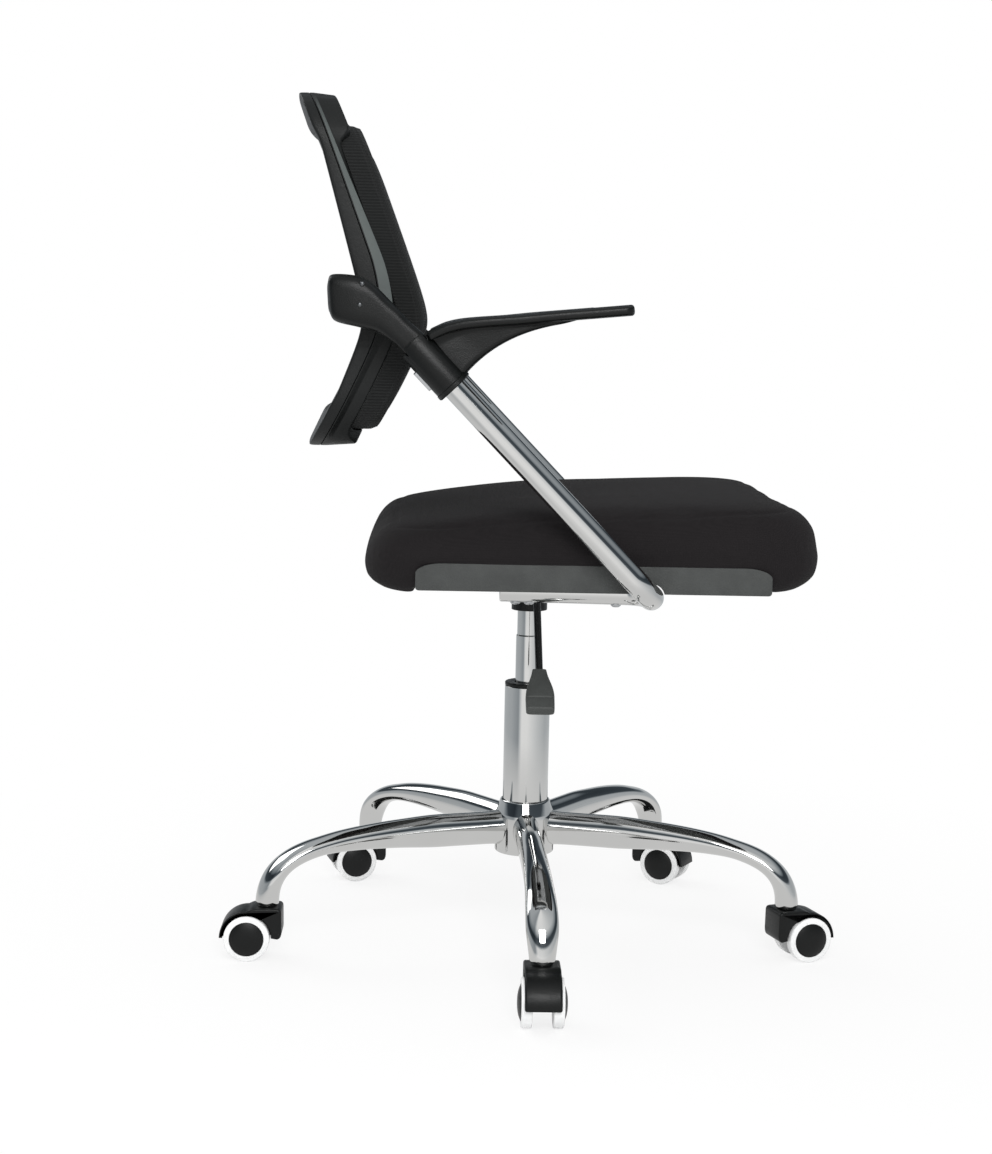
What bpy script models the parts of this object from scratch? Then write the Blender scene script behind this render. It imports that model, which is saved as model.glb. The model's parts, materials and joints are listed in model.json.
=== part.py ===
"""Task chair: a mesh back that reclines on tube arms, a padded seat, a gas lift and a five-leg base.

The chair faces +X, the sitter's left is +Y, and the floor is at zero height. Sizes are in metres.
"""
import math

import bmesh
import bpy
import numpy as np
from mathutils import Matrix, Vector

# Clearances
SEAT_GAP = 0.0003
RUN_GAP = 0.0006

# Casters: twin wheels under a hood, trailing behind the stem
LEG_COUNT = 5
CASTER_HEADINGS = (-90.0, 18.0, -30.0, 195.0, 180.0)
WHEEL_RADIUS = 0.025
WHEEL_WIDTH = 0.011
WHEEL_SIDES = 20
TRAIL = 0.021
WEB_HALF = 0.0102
HOOD_RADIUS = 0.030
HOOD_WALL = 0.0036
HOOD_HALF = 0.0185
BLOCK_REACH = 0.017
BLOCK_RISE = 0.033
STEM_RADIUS = 0.0055
STEM_IN_LEG = 0.022
STEM_IN_HOUSING = 0.020
AXLE_RADIUS = 0.004
CAP_RADIUS = 0.0185
CAP_DEPTH = 0.0045
CAP_DOME = 0.0037

# Five-leg base
BASE_TURN = math.radians(1.5)
LEG_RADIUS = 0.300
LEG_WIDTHS = (0.028, 0.030, 0.034, 0.026)
LEG_ROOT_HEIGHT = 0.037
LEG_TIP_DIAMETER = 0.026
LEG_WAIST = 0.020
LEG_LEVEL = 0.1265
HUB_RADIUS = 0.0335
HUB_BOTTOM = 0.098
HUB_HEIGHT = 0.043
HUB_CONE = 0.017

# Column and gas spring
COLUMN_RADIUS = 0.0255
COLUMN_WALL = 0.002
COLUMN_TOP = 0.288
COLUMN_FLOOR = 0.003
BUSH_FLANGE = 0.004
BUSH_LENGTH = 0.060
BEARING_RADIUS = 0.015
BEARING_HEIGHT = 0.006
ROD_RADIUS = 0.005
ROD_LENGTH = 0.130
PISTON_HEIGHT = 0.012
CYLINDER_RADIUS = 0.014
CYLINDER_BORE = 0.012
CYLINDER_LENGTH = 0.205
RELEASE_PIN_RADIUS = 0.004
RELEASE_PIN_HEIGHT = 0.0055
ROUND_SIDES = 28

# Side tubes: a runner under the seat, an elbow and a slanted upright to the hinge
TUBE_RADIUS = 0.0127
ARM_CLEARANCE = 0.0083
TUBE_SLOPE = math.radians(45.9)
TUBE_BEND = 0.028
TUBE_SIDES_RESOLUTION = 6
RUNNER_Z = 0.4207
ELBOW_DEPTH = 0.061
RUNNER_REAR_X = -0.039
RUNNER_SPLAY = 0.013
PIVOT_X = -0.131
PIVOT_Z = 0.672
TONGUE_RADIUS = 0.0120
TONGUE_THICKNESS = 0.008

# Mounting plate, column socket and height lever
PLATE_REAR_X = -0.045
PLATE_FRONT_X = 0.097
PLATE_THICKNESS = 0.0033
PLATE_CORNER = 0.015
PLATE_HOLE_RADIUS = 0.004
PLATE_HOLE_INSET = 0.020
SOCKET_RADIUS = 0.020
SOCKET_COLLAR = 0.028
SOCKET_BOX_HALF_X = 0.032
SOCKET_BOX_HALF_Y = 0.034
SOCKET_BOX_HEIGHT = 0.031
SOCKET_WALL = 0.005
SOCKET_CAVITY_HALF = 0.015
LEVER_X = 0.005
LEVER_RADIUS = 0.004
LEVER_ABOVE_CYLINDER = 0.013
LEVER_NECK = 0.012
LEVER_DROP = math.radians(37.0)
LEVER_RUN = 0.143
PADDLE_LENGTH = 0.056
PADDLE_WIDTH = 0.030
PADDLE_THICKNESS = 0.012
PADDLE_GRIP = 0.030

# Seat
PAN_REAR_X = -0.126
PAN_FRONT_X = 0.235
PAN_WALL = 0.003
PAN_SKIRT = 0.0133
PAN_RISE = 0.0117
PAN_CORNER = 0.028
BOARD_THICKNESS = 0.010
BOARD_MARGIN = 0.008
CUSHION_REAR_X = -0.178
CUSHION_FRONT_X = 0.288
CUSHION_HALF_WIDTH = 0.243
CUSHION_OVERHANG = 0.005
CUSHION_CORNER = 0.060
CUSHION_LIP = 0.0195
CUSHION_HEIGHT = 0.071
CUSHION_SLOPE = math.radians(2.4)
CUSHION_DRAW = 0.004
CUSHION_REAR_FALL = 0.010

# Armrests
SLEEVE_RADIUS = 0.0185
SLEEVE_START = 0.003
SLEEVE_END = 0.060
PAD_WIDTH = 0.046
PAD_THICKNESS = 0.011
PAD_CURVE = ((0.024, 0.004), (0.035, 0.026), (0.065, 0.023), (0.215, 0.0385))
WEB_CURVE = ((0.190, 0.0275), (0.110, 0.0265), (0.072, -0.006), (0.052, -0.032))
WEB_THICKNESS = 0.016

# Hinge: forked lug, flattened tube end and pin; the lug's outline is measured from the hinge
LUG_TOPS = ((-0.0855, 0.058), (-0.080, 0.065), (-0.056, 0.064), (-0.041, 0.057), (-0.026, 0.043),
            (-0.011, 0.028), (0.003, 0.012))
LUG_BOTTOMS = ((-0.0835, 0.027), (-0.076, 0.019), (-0.054, 0.014), (-0.038, 0.010), (-0.030, 0.006),
               (-0.021, 0.001), (-0.012, -0.005))
LUG_SPREADS = (0.0, 0.0, 0.0, 0.0, 0.35, 1.0, 1.0)
LUG_INSETS = (0.010, 0.003, 0.0, 0.0, 0.0, 0.0, 0.0)
LUG_ROUNDING = 0.008
KNUCKLE_RADIUS = 0.0135
KNUCKLE_HALF = 0.014
PIN_RADIUS = 0.004
PIN_HEAD_RADIUS = 0.0065
PIN_HEAD = 0.0025
PIN_COVER = 0.0035

# Back, measured from the hinge
BACK_HALF_WIDTH = 0.217
BACK_TOP = 0.248
BACK_BOTTOM = -0.108
BACK_CORNER = 0.055
BACK_BAR = 0.036
BACK_STILE = 0.032
BACK_BOW = 0.017
BOW_STEPS = (-0.140, -0.095, -0.048, 0.0, 0.048, 0.095, 0.140)
LUMBAR_X = -0.0085
LUMBAR_Z = 0.018
LUMBAR_SOFTNESS = 0.020
BEND_STEPS = (-0.045, -0.028, -0.016, -0.007, 0.0, 0.007, 0.016, 0.028, 0.048, 0.085, 0.125)
UPPER_LEAN = 0.38
LOWER_LEAN = 0.533
STILE_DEPTH = 0.036
STILE_TOP_DEPTH = 0.020
STILE_BOTTOM_DEPTH = 0.031
BAR_SWELL = 0.002
FRAME_DEPTH = 0.010
FRAME_LOWER_DEPTH = 0.020
FRAME_CHAMFER = 0.008
BAR_LIP = 0.015
CARRIER_DEPTH = 0.024
CARRIER_INSET = 0.005
CARRIER_WIDTH = 0.024
CARRIER_CORNER = 0.042
MESH_THICKNESS = 0.0025

# Heights and places that follow from the sizes above
PAN_HALF_WIDTH = CUSHION_HALF_WIDTH - CUSHION_OVERHANG
TUBE_Y = CUSHION_HALF_WIDTH + ARM_CLEARANCE + TUBE_RADIUS
RUNNER_FRONT_Y = TUBE_Y - ELBOW_DEPTH
RUNNER_REAR_Y = RUNNER_FRONT_Y - RUNNER_SPLAY
PLATE_HALF_WIDTH = RUNNER_REAR_Y + 0.8 * TUBE_RADIUS
CAP_SEAT = WEB_HALF + SEAT_GAP + WHEEL_WIDTH - CAP_DEPTH
HOUSING_TOP = WHEEL_RADIUS + BLOCK_RISE
LEG_TIP_Z = HOUSING_TOP + RUN_GAP
HUB_TOP = HUB_BOTTOM + HUB_HEIGHT
PLATE_BOTTOM = RUNNER_Z + TUBE_RADIUS + SEAT_GAP
PLATE_TOP = PLATE_BOTTOM + PLATE_THICKNESS
PAN_FLOOR_BOTTOM = PLATE_TOP + SEAT_GAP
PAN_FLOOR_TOP = PAN_FLOOR_BOTTOM + PAN_WALL
BOARD_BOTTOM = PAN_FLOOR_TOP + SEAT_GAP
BOARD_TOP = BOARD_BOTTOM + BOARD_THICKNESS
SOCKET_BOX_BOTTOM = PLATE_BOTTOM - SEAT_GAP - SOCKET_BOX_HEIGHT
SOCKET_BOTTOM = SOCKET_BOX_BOTTOM - SOCKET_COLLAR
CYLINDER_TOP = SOCKET_BOX_BOTTOM - SEAT_GAP
LEVER_Z = CYLINDER_TOP + LEVER_ABOVE_CYLINDER
LEVER_PIVOT_Y = SOCKET_WALL / 2 - SOCKET_BOX_HALF_Y
TUBE_DIRECTION = Vector((math.cos(TUBE_SLOPE), 0.0, -math.sin(TUBE_SLOPE)))
ELBOW_X = PIVOT_X + (PIVOT_Z - RUNNER_Z) / math.tan(TUBE_SLOPE)
TONGUE_CLEAR = KNUCKLE_RADIUS + 0.0025
CHAIR_SHIFT_X = -0.004
CHAIR_SHIFT_Y = (LEG_RADIUS + TRAIL + HOOD_RADIUS - TUBE_Y - PAD_WIDTH / 2) / 2

FINISHES = {
    "chrome": ((0.80, 0.81, 0.82, 1.0), 0.08, 1.0),
    "steel": ((0.45, 0.46, 0.47, 1.0), 0.35, 1.0),
    "black_plastic": ((0.030, 0.032, 0.032, 1.0), 0.55, 0.0),
    "grey_plastic": ((0.070, 0.075, 0.073, 1.0), 0.55, 0.0),
    "white_nylon": ((0.82, 0.84, 0.84, 1.0), 0.40, 0.0),
    "plywood": ((0.50, 0.36, 0.22, 1.0), 0.70, 0.0),
    "seat_fabric": ((0.022, 0.020, 0.021, 1.0), 0.90, 0.0),
    "mesh_fabric": ((0.020, 0.021, 0.021, 1.0), 0.85, 0.0),
}


def material(name):
    """Principled material of a named finish, made once."""
    found = bpy.data.materials.get(name)
    if found:
        return found
    colour, roughness, metallic = FINISHES[name]
    made = bpy.data.materials.new(name)
    made.use_nodes = True
    shader = made.node_tree.nodes["Principled BSDF"]
    shader.inputs["Base Color"].default_value = colour
    shader.inputs["Roughness"].default_value = roughness
    shader.inputs["Metallic"].default_value = metallic
    made.diffuse_color = colour
    return made


def collection(name):
    """Collection of that name under the scene."""
    found = bpy.data.collections.get(name)
    if not found:
        found = bpy.data.collections.new(name)
        bpy.context.scene.collection.children.link(found)
    return found


def node(name, mesh, finish, parent, location=(0.0, 0.0, 0.0), turn=0.0):
    """Named sub-part with its finish, set under a parent and turned about its own Z."""
    if not mesh.materials:
        mesh.materials.append(material(finish))
        mesh.shade_smooth()
        mesh.set_sharp_from_angle(angle=math.radians(35.0))
    made = bpy.data.objects.new(name, mesh)
    collection("task_chair").objects.link(made)
    made.parent = parent
    made.location = location
    made.rotation_euler.z = turn
    return made


def anchor(name, parent, location=(0.0, 0.0, 0.0), turn=0.0):
    """Empty that marks a place or a joint's axis."""
    made = bpy.data.objects.new(name, None)
    collection("task_chair").objects.link(made)
    made.parent = parent
    made.location = location
    made.rotation_euler.z = turn
    return made


def evaluated(made):
    """Mesh of an object after its modifiers; the object is removed."""
    bpy.context.view_layer.update()
    depsgraph = bpy.context.evaluated_depsgraph_get()
    mesh = bpy.data.meshes.new_from_object(made.evaluated_get(depsgraph))
    bpy.data.objects.remove(made)
    return mesh


def workpiece(data, matrix=Matrix()):
    """Object used only while a mesh is worked out."""
    made = bpy.data.objects.new("workpiece", data)
    collection("workpieces").objects.link(made)
    made.matrix_world = matrix
    return made


def welded(mesh):
    """The same mesh with its doubles merged and its faces turned outwards."""
    work = bmesh.new()
    work.from_mesh(mesh)
    bmesh.ops.remove_doubles(work, verts=work.verts, dist=0.00001)
    bmesh.ops.recalc_face_normals(work, faces=work.faces)
    work.to_mesh(mesh)
    work.free()
    return mesh


def boolean(base, tool, operation, matrix=Matrix()):
    """Mesh of the base with the tool joined to it or cut from it; the matrix places the tool."""
    body = workpiece(base)
    other = workpiece(tool, matrix)
    change = body.modifiers.new("shape", "BOOLEAN")
    change.operation = operation
    change.solver = "EXACT"
    change.object = other
    mesh = evaluated(body)
    bpy.data.objects.remove(other)
    return mesh


def union(base, tool, matrix=Matrix()):
    return boolean(base, tool, "UNION", matrix)


def cut(base, tool, matrix=Matrix()):
    return boolean(base, tool, "DIFFERENCE", matrix)


def turned(profile, sides, ring=False, spin=0.0):
    """Solid turned about Z from (radius, height) points that run down its outer side."""
    mesh = bpy.data.meshes.new("turned")
    points = [(radius * math.cos(spin), radius * math.sin(spin), height) for radius, height in profile]
    edges = [(i, i + 1) for i in range(len(points) - 1)]
    if ring:
        edges.append((len(points) - 1, 0))
    mesh.from_pydata(points, edges, [])
    made = workpiece(mesh)
    screw = made.modifiers.new("turn", "SCREW")
    screw.axis = "Z"
    screw.steps = sides
    screw.render_steps = sides
    screw.use_merge_vertices = True
    screw.merge_threshold = 0.00001
    return evaluated(made)


def cylinder(radius, low, high, sides, spin=0.0):
    """Closed cylinder along Z."""
    return turned([(0.0, high), (radius, high), (radius, low), (0.0, low)], sides, spin=spin)


def box(low, high):
    """Closed box between two corners."""
    low = Vector(low)
    high = Vector(high)
    work = bmesh.new()
    bmesh.ops.create_cube(work, size=1.0)
    bmesh.ops.scale(work, vec=high - low, verts=work.verts)
    bmesh.ops.translate(work, vec=(high + low) / 2, verts=work.verts)
    mesh = bpy.data.meshes.new("box")
    work.to_mesh(mesh)
    work.free()
    return mesh


def bar(points, radius, resolution):
    """Round bar along a path, as a bevelled curve turned into a mesh."""
    curve = bpy.data.curves.new("bar", "CURVE")
    curve.dimensions = "3D"
    curve.bevel_depth = radius
    curve.bevel_resolution = resolution
    curve.use_fill_caps = True
    spline = curve.splines.new("POLY")
    spline.points.add(len(points) - 1)
    for target, point in zip(spline.points, points):
        target.co = (*point, 1.0)
    return welded(evaluated(workpiece(curve)))


def slab(outline, thickness, holes=()):
    """Flat plate from an outline in XY, with holes, centred on Z."""
    curve = bpy.data.curves.new("slab", "CURVE")
    curve.dimensions = "2D"
    curve.fill_mode = "BOTH"
    curve.extrude = thickness / 2
    for loop in (outline, *holes):
        spline = curve.splines.new("POLY")
        spline.points.add(len(loop) - 1)
        for target, point in zip(spline.points, loop):
            target.co = (point[0], point[1], 0.0, 1.0)
        spline.use_cyclic_u = True
    return welded(evaluated(workpiece(curve)))


def skin(rows, ring=False):
    """Surface over closed loops of points, row after row, capped at both ends or joined as a ring."""
    rows = np.asarray(rows, dtype=float)
    count, around, _ = rows.shape
    index = np.arange(count * around).reshape(count, around)
    nearer = index if ring else index[:-1]
    further = np.roll(index, -1, axis=0) if ring else index[1:]
    quads = np.stack([nearer, np.roll(nearer, -1, 1), np.roll(further, -1, 1), further], axis=-1)
    faces = quads.reshape(-1, 4).tolist()
    if not ring:
        faces += [index[0].tolist(), index[-1].tolist()]
    mesh = bpy.data.meshes.new("skin")
    mesh.from_pydata(rows.reshape(-1, 3).tolist(), [], faces)
    return welded(mesh)


def arc(centre, radius, start, end, steps):
    """Points of an arc in a plane, from one angle in degrees to another."""
    angles = np.radians(np.linspace(start, end, steps + 1))
    return [(centre[0] + radius * math.cos(a), centre[1] + radius * math.sin(a)) for a in angles]


def rounded_box(half_x, half_y, corner, steps, sides=0):
    """Loop of a rectangle with round corners, starting on +X and running anticlockwise."""
    loop = []
    for quarter in range(4):
        sign_x = 1 if quarter in (0, 3) else -1
        sign_y = 1 if quarter < 2 else -1
        centre = (sign_x * (half_x - corner), sign_y * (half_y - corner))
        loop += arc(centre, corner, 90 * quarter, 90 * quarter + 90, steps)
    loop = np.array(loop)
    if not sides:
        return loop
    per_corner = steps + 1
    filled = []
    for quarter in range(4):
        filled.append(loop[quarter * per_corner:(quarter + 1) * per_corner])
        start = loop[(quarter + 1) * per_corner - 1]
        end = loop[((quarter + 1) * per_corner) % len(loop)]
        shares = np.linspace(0.0, 1.0, sides + 2)[1:-1, None]
        filled.append(start + (end - start) * shares)
    return np.concatenate(filled)


def placed(loop, origin, across, upward):
    """Flat loop set into space by its centre and its two directions."""
    loop = np.asarray(loop)
    return np.asarray(origin) + loop[:, :1] * np.asarray(across) + loop[:, 1:] * np.asarray(upward)


def filleted(points, radius, steps):
    """Path through corner points, each inner corner rounded by an arc."""
    path = [Vector(points[0])]
    for before, corner, after in zip(points, points[1:], points[2:]):
        corner = Vector(corner)
        back = (Vector(before) - corner).normalized()
        ahead = (Vector(after) - corner).normalized()
        half = back.angle(ahead) / 2
        reach = radius / math.tan(half)
        middle = corner + (back + ahead).normalized() * radius / math.sin(half)
        start = corner + back * reach - middle
        turn_axis = start.cross(corner + ahead * reach - middle).normalized()
        for share in np.linspace(0.0, 1.0, steps + 1):
            turn = Matrix.Rotation((math.pi - 2 * half) * share, 3, turn_axis)
            path.append(middle + turn @ start)
    path.append(Vector(points[-1]))
    return path


def bezier(controls, share):
    """Point and direction of a cubic curve at a share of its length."""
    a, b, c, d = (np.asarray(point, dtype=float) for point in controls)
    rest = 1.0 - share
    point = a * rest ** 3 + 3 * b * share * rest ** 2 + 3 * c * share ** 2 * rest + d * share ** 3
    slope = 3 * (b - a) * rest ** 2 + 6 * (c - b) * share * rest + 3 * (d - c) * share ** 2
    return point, slope / np.linalg.norm(slope)


ALONG_Y = Matrix.Rotation(math.pi / 2, 4, "X")


def across(location):
    """Placement that lays a shape's Z axis along -Y at a point."""
    return Matrix.Translation(location) @ ALONG_Y


# Casters


def caster_meshes():
    """Shared meshes of one caster, in a frame with the stem on Z and the wheels trailing along +X."""
    inner = HOOD_RADIUS - HOOD_WALL
    hood = arc((0.0, 0.0), HOOD_RADIUS, 0.0, 90.0, 6)
    hood += [(-0.2 * HOOD_RADIUS, BLOCK_RISE), (-TRAIL - 0.6 * BLOCK_REACH, BLOCK_RISE)]
    hood += [(-TRAIL - BLOCK_REACH, 0.7 * BLOCK_RISE), (-TRAIL - BLOCK_REACH, 0.2 * BLOCK_RISE)]
    hood += [(-TRAIL - 0.7 * BLOCK_REACH, -0.001), (-inner, -0.001)]
    hood += arc((0.0, 0.0), inner, 180.0, 0.0, 10)
    web = arc((0.0, 0.0), inner + HOOD_WALL / 3, 6.0, 174.0, 10)
    web += arc((0.0, 0.0), 2.2 * AXLE_RADIUS, 220.0, 320.0, 4)
    upright = Matrix.Translation((TRAIL, 0.0, WHEEL_RADIUS)) @ ALONG_Y
    housing = slab(hood, 2 * HOOD_HALF)
    housing.transform(upright)
    web_plate = slab(web, 2 * WEB_HALF)
    housing = union(housing, web_plate, upright)
    bore = cylinder(AXLE_RADIUS + SEAT_GAP, -HOOD_HALF, HOOD_HALF, 12)
    housing = cut(housing, bore, upright)
    stem_low = HOUSING_TOP - STEM_IN_HOUSING
    stem_bore = cylinder(STEM_RADIUS + RUN_GAP, stem_low - SEAT_GAP, HOUSING_TOP + HOOD_RADIUS, 16)
    housing = cut(housing, stem_bore)
    stem = cylinder(STEM_RADIUS, stem_low, LEG_TIP_Z + STEM_IN_LEG, 16)
    axle = cylinder(AXLE_RADIUS, SEAT_GAP - CAP_SEAT, CAP_SEAT - SEAT_GAP, 12)
    axle.transform(ALONG_Y)
    near = WEB_HALF + SEAT_GAP
    far = near + WHEEL_WIDTH
    tread = WHEEL_RADIUS / math.cos(math.pi / WHEEL_SIDES)
    half_side = math.pi / WHEEL_SIDES
    rim = CAP_RADIUS + SEAT_GAP
    profile = [(tread - 0.0015, far), (tread, far - 0.0015), (tread, near)]
    profile += [(AXLE_RADIUS + SEAT_GAP, near), (AXLE_RADIUS + SEAT_GAP, CAP_SEAT)]
    profile += [(rim, CAP_SEAT), (rim, far)]
    wheel = turned(profile, WHEEL_SIDES, ring=True, spin=half_side)
    wheel.transform(ALONG_Y)
    seat = CAP_SEAT + SEAT_GAP
    dome = [(0.0, far + CAP_DOME), (0.6 * CAP_RADIUS, far + 0.85 * CAP_DOME)]
    dome += [(0.9 * CAP_RADIUS, far + 0.3 * CAP_DOME)]
    dome += [(CAP_RADIUS, far - 0.001), (CAP_RADIUS, seat), (0.0, seat)]
    cap = turned(dome, WHEEL_SIDES, spin=half_side)
    cap.transform(ALONG_Y)
    return housing, stem, axle, wheel, cap


def casters(chair):
    """Five casters, each on its own stem axis and turned to its own heading."""
    housing, stem, axle, wheel, cap = caster_meshes()
    hub_place = (TRAIL, 0.0, WHEEL_RADIUS)
    for leg in range(LEG_COUNT):
        angle = leg_angle(leg)
        place = (LEG_RADIUS * math.cos(angle), LEG_RADIUS * math.sin(angle), 0.0)
        name = f"caster_{leg + 1}"
        swivel = anchor(f"{name}_swivel", chair, place, math.radians(CASTER_HEADINGS[leg]))
        node(f"{name}_stem", stem, "steel", swivel)
        node(f"{name}_housing", housing, "black_plastic", swivel)
        node(f"{name}_axle", axle, "steel", swivel, hub_place)
        for side, turn in (("a", 0.0), ("b", math.pi)):
            node(f"{name}_wheel_{side}", wheel, "white_nylon", swivel, hub_place, turn)
            node(f"{name}_cap_{side}", cap, "black_plastic", swivel, hub_place, turn)


# Base and column


def leg_angle(leg):
    """Direction of a leg; the first one points to the sitter's right."""
    return 2 * math.pi * leg / LEG_COUNT - math.pi / 2 + BASE_TURN


def leg_mesh():
    """Oval leg along +X that runs level, thins and bends down into a round tip with a stem socket."""
    root = HUB_RADIUS - 0.006
    tip = np.array([LEG_RADIUS, LEG_TIP_Z])
    start = np.array([root, LEG_LEVEL])
    controls = (start, start + (0.173, 0.0015), tip + (0.001, 0.0755), tip)
    loop = np.array(arc((0.0, 0.0), 0.5, 0.0, 330.0, 11))
    rows = []
    for share in (0.0, 0.09, 0.18, 0.27, 0.36, 0.45, 0.54, 0.63, 0.71, 0.78, 0.85, 0.92, 1.0):
        point, along = bezier(controls, share)
        heights = (LEG_ROOT_HEIGHT, LEG_ROOT_HEIGHT, 0.0315, 0.0235, LEG_WAIST, LEG_WAIST, LEG_TIP_DIAMETER)
        height = np.interp(share, (0.0, 0.15, 0.27, 0.45, 0.56, 0.70, 1.0), heights)
        width = np.interp(share, (0.0, 0.5, 0.8, 1.0), LEG_WIDTHS)
        centre = (point[0], 0.0, point[1])
        rows.append(placed(loop, centre, (0.0, width, 0.0), (-along[1] * height, 0.0, along[0] * height)))
    leg = skin(rows)
    top = LEG_TIP_Z + STEM_IN_LEG + SEAT_GAP
    socket = cylinder(STEM_RADIUS + SEAT_GAP, LEG_TIP_Z - LEG_TIP_DIAMETER, top, 16)
    return cut(leg, socket, Matrix.Translation((LEG_RADIUS, 0.0, 0.0)))


def star_base(chair):
    """Hub with a conical top and five legs welded to it."""
    bore = COLUMN_RADIUS + SEAT_GAP
    foot = 0.002
    profile = [(bore + foot, HUB_TOP + HUB_CONE), (HUB_RADIUS, HUB_TOP), (HUB_RADIUS, HUB_BOTTOM + foot)]
    profile += [(HUB_RADIUS - foot, HUB_BOTTOM), (bore, HUB_BOTTOM), (bore, HUB_TOP + HUB_CONE)]
    mesh = turned(profile, ROUND_SIDES, ring=True)
    leg = leg_mesh()
    for number in range(LEG_COUNT):
        mesh = union(mesh, leg, Matrix.Rotation(leg_angle(number), 4, "Z"))
    node("star_base", mesh, "chrome", chair)


def column(chair):
    """Outer tube with its floor, guide bush and thrust bearing, and the gas spring inside."""
    inside = COLUMN_RADIUS - COLUMN_WALL
    hole = ROD_RADIUS + 2 * RUN_GAP
    floor_top = HUB_BOTTOM + COLUMN_FLOOR
    profile = [(COLUMN_RADIUS, COLUMN_TOP), (COLUMN_RADIUS, HUB_BOTTOM)]
    profile += [(hole, HUB_BOTTOM), (hole, floor_top)]
    profile += [(inside, floor_top), (inside, COLUMN_TOP)]
    node("column_tube", turned(profile, ROUND_SIDES, ring=True), "chrome", chair)
    flange_low = COLUMN_TOP + SEAT_GAP
    flange_high = flange_low + BUSH_FLANGE
    sleeve = inside - SEAT_GAP
    guide = CYLINDER_RADIUS + RUN_GAP
    profile = [(COLUMN_RADIUS - 0.001, flange_high), (COLUMN_RADIUS, flange_high - 0.001)]
    profile += [(COLUMN_RADIUS, flange_low)]
    profile += [(sleeve, flange_low), (sleeve, COLUMN_TOP - BUSH_LENGTH), (guide, COLUMN_TOP - BUSH_LENGTH)]
    profile += [(guide, flange_high)]
    node("column_bush", turned(profile, ROUND_SIDES, ring=True), "black_plastic", chair)
    bearing_low = floor_top + SEAT_GAP
    bearing_high = bearing_low + BEARING_HEIGHT
    profile = [(BEARING_RADIUS, bearing_high), (BEARING_RADIUS, bearing_low)]
    profile += [(hole, bearing_low), (hole, bearing_high)]
    node("thrust_bearing", turned(profile, 20, ring=True), "steel", chair)
    collar_low = bearing_high + SEAT_GAP
    collar_high = collar_low + BUSH_FLANGE
    collar = 0.6 * BEARING_RADIUS
    piston = CYLINDER_BORE - RUN_GAP
    piston_low = collar_high + ROD_LENGTH
    profile = [(0.0, piston_low + PISTON_HEIGHT), (piston, piston_low + PISTON_HEIGHT), (piston, piston_low)]
    profile += [(ROD_RADIUS, piston_low), (ROD_RADIUS, collar_high)]
    profile += [(collar, collar_high), (collar, collar_low)]
    profile += [(ROD_RADIUS, collar_low), (ROD_RADIUS, HUB_BOTTOM + SEAT_GAP), (0.0, HUB_BOTTOM + SEAT_GAP)]
    node("piston_rod", turned(profile, 20), "steel", chair)
    low = CYLINDER_TOP - CYLINDER_LENGTH
    wall = CYLINDER_RADIUS - CYLINDER_BORE
    pin_top = CYLINDER_TOP + RELEASE_PIN_HEIGHT
    rod_hole = ROD_RADIUS + RUN_GAP
    profile = [(0.0, pin_top), (RELEASE_PIN_RADIUS, pin_top), (RELEASE_PIN_RADIUS, CYLINDER_TOP)]
    profile += [(CYLINDER_RADIUS - wall, CYLINDER_TOP), (CYLINDER_RADIUS, CYLINDER_TOP - wall)]
    profile += [(CYLINDER_RADIUS, low)]
    profile += [(rod_hole, low), (rod_hole, low + 3 * wall), (CYLINDER_BORE, low + 3 * wall)]
    profile += [(CYLINDER_BORE, CYLINDER_TOP - 4 * wall), (0.0, CYLINDER_TOP - 4 * wall)]
    node("gas_cylinder", turned(profile, ROUND_SIDES), "chrome", chair)


# Under the seat


def column_socket(chair):
    """Collar that takes the cylinder's top, with a hollow release box above it."""
    top = PLATE_BOTTOM - SEAT_GAP
    mesh = box((-SOCKET_BOX_HALF_X, -SOCKET_BOX_HALF_Y, SOCKET_BOX_BOTTOM),
               (SOCKET_BOX_HALF_X, SOCKET_BOX_HALF_Y, top))
    collar = cylinder(SOCKET_RADIUS, SOCKET_BOTTOM, SOCKET_BOX_BOTTOM + SOCKET_WALL / 2, ROUND_SIDES)
    mesh = union(mesh, collar)
    seat_top = CYLINDER_TOP + SEAT_GAP
    seat = cylinder(CYLINDER_RADIUS + SEAT_GAP, SOCKET_BOTTOM - SOCKET_WALL, seat_top, ROUND_SIDES)
    mesh = cut(mesh, seat)
    half = SOCKET_CAVITY_HALF
    cavity = box((-half, SOCKET_WALL - SOCKET_BOX_HALF_Y, CYLINDER_TOP), (half, half, top - SOCKET_WALL))
    mesh = cut(mesh, cavity)
    hole = cylinder(LEVER_RADIUS + RUN_GAP, -SOCKET_WALL, SOCKET_WALL, 16)
    mesh = cut(mesh, hole, across((LEVER_X, LEVER_PIVOT_Y, LEVER_Z)))
    node("column_socket", mesh, "black_plastic", chair)


def mount_plate(chair):
    """Steel plate across the two runners, with a bolt hole near each corner."""
    half_x = (PLATE_FRONT_X - PLATE_REAR_X) / 2
    middle = (PLATE_FRONT_X + PLATE_REAR_X) / 2
    outline = rounded_box(half_x, PLATE_HALF_WIDTH, PLATE_CORNER, 4)
    holes = []
    for sign_x in (-1, 1):
        for sign_y in (-1, 1):
            hole_y = RUNNER_REAR_Y - 2 * TUBE_RADIUS - PLATE_HOLE_INSET
            centre = (sign_x * (half_x - PLATE_HOLE_INSET), sign_y * hole_y)
            holes.append(arc(centre, PLATE_HOLE_RADIUS, 330.0, 0.0, 11))
    place = (middle, 0.0, PLATE_BOTTOM + PLATE_THICKNESS / 2)
    node("mount_plate", slab(outline, PLATE_THICKNESS, holes), "steel", chair, place)


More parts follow.
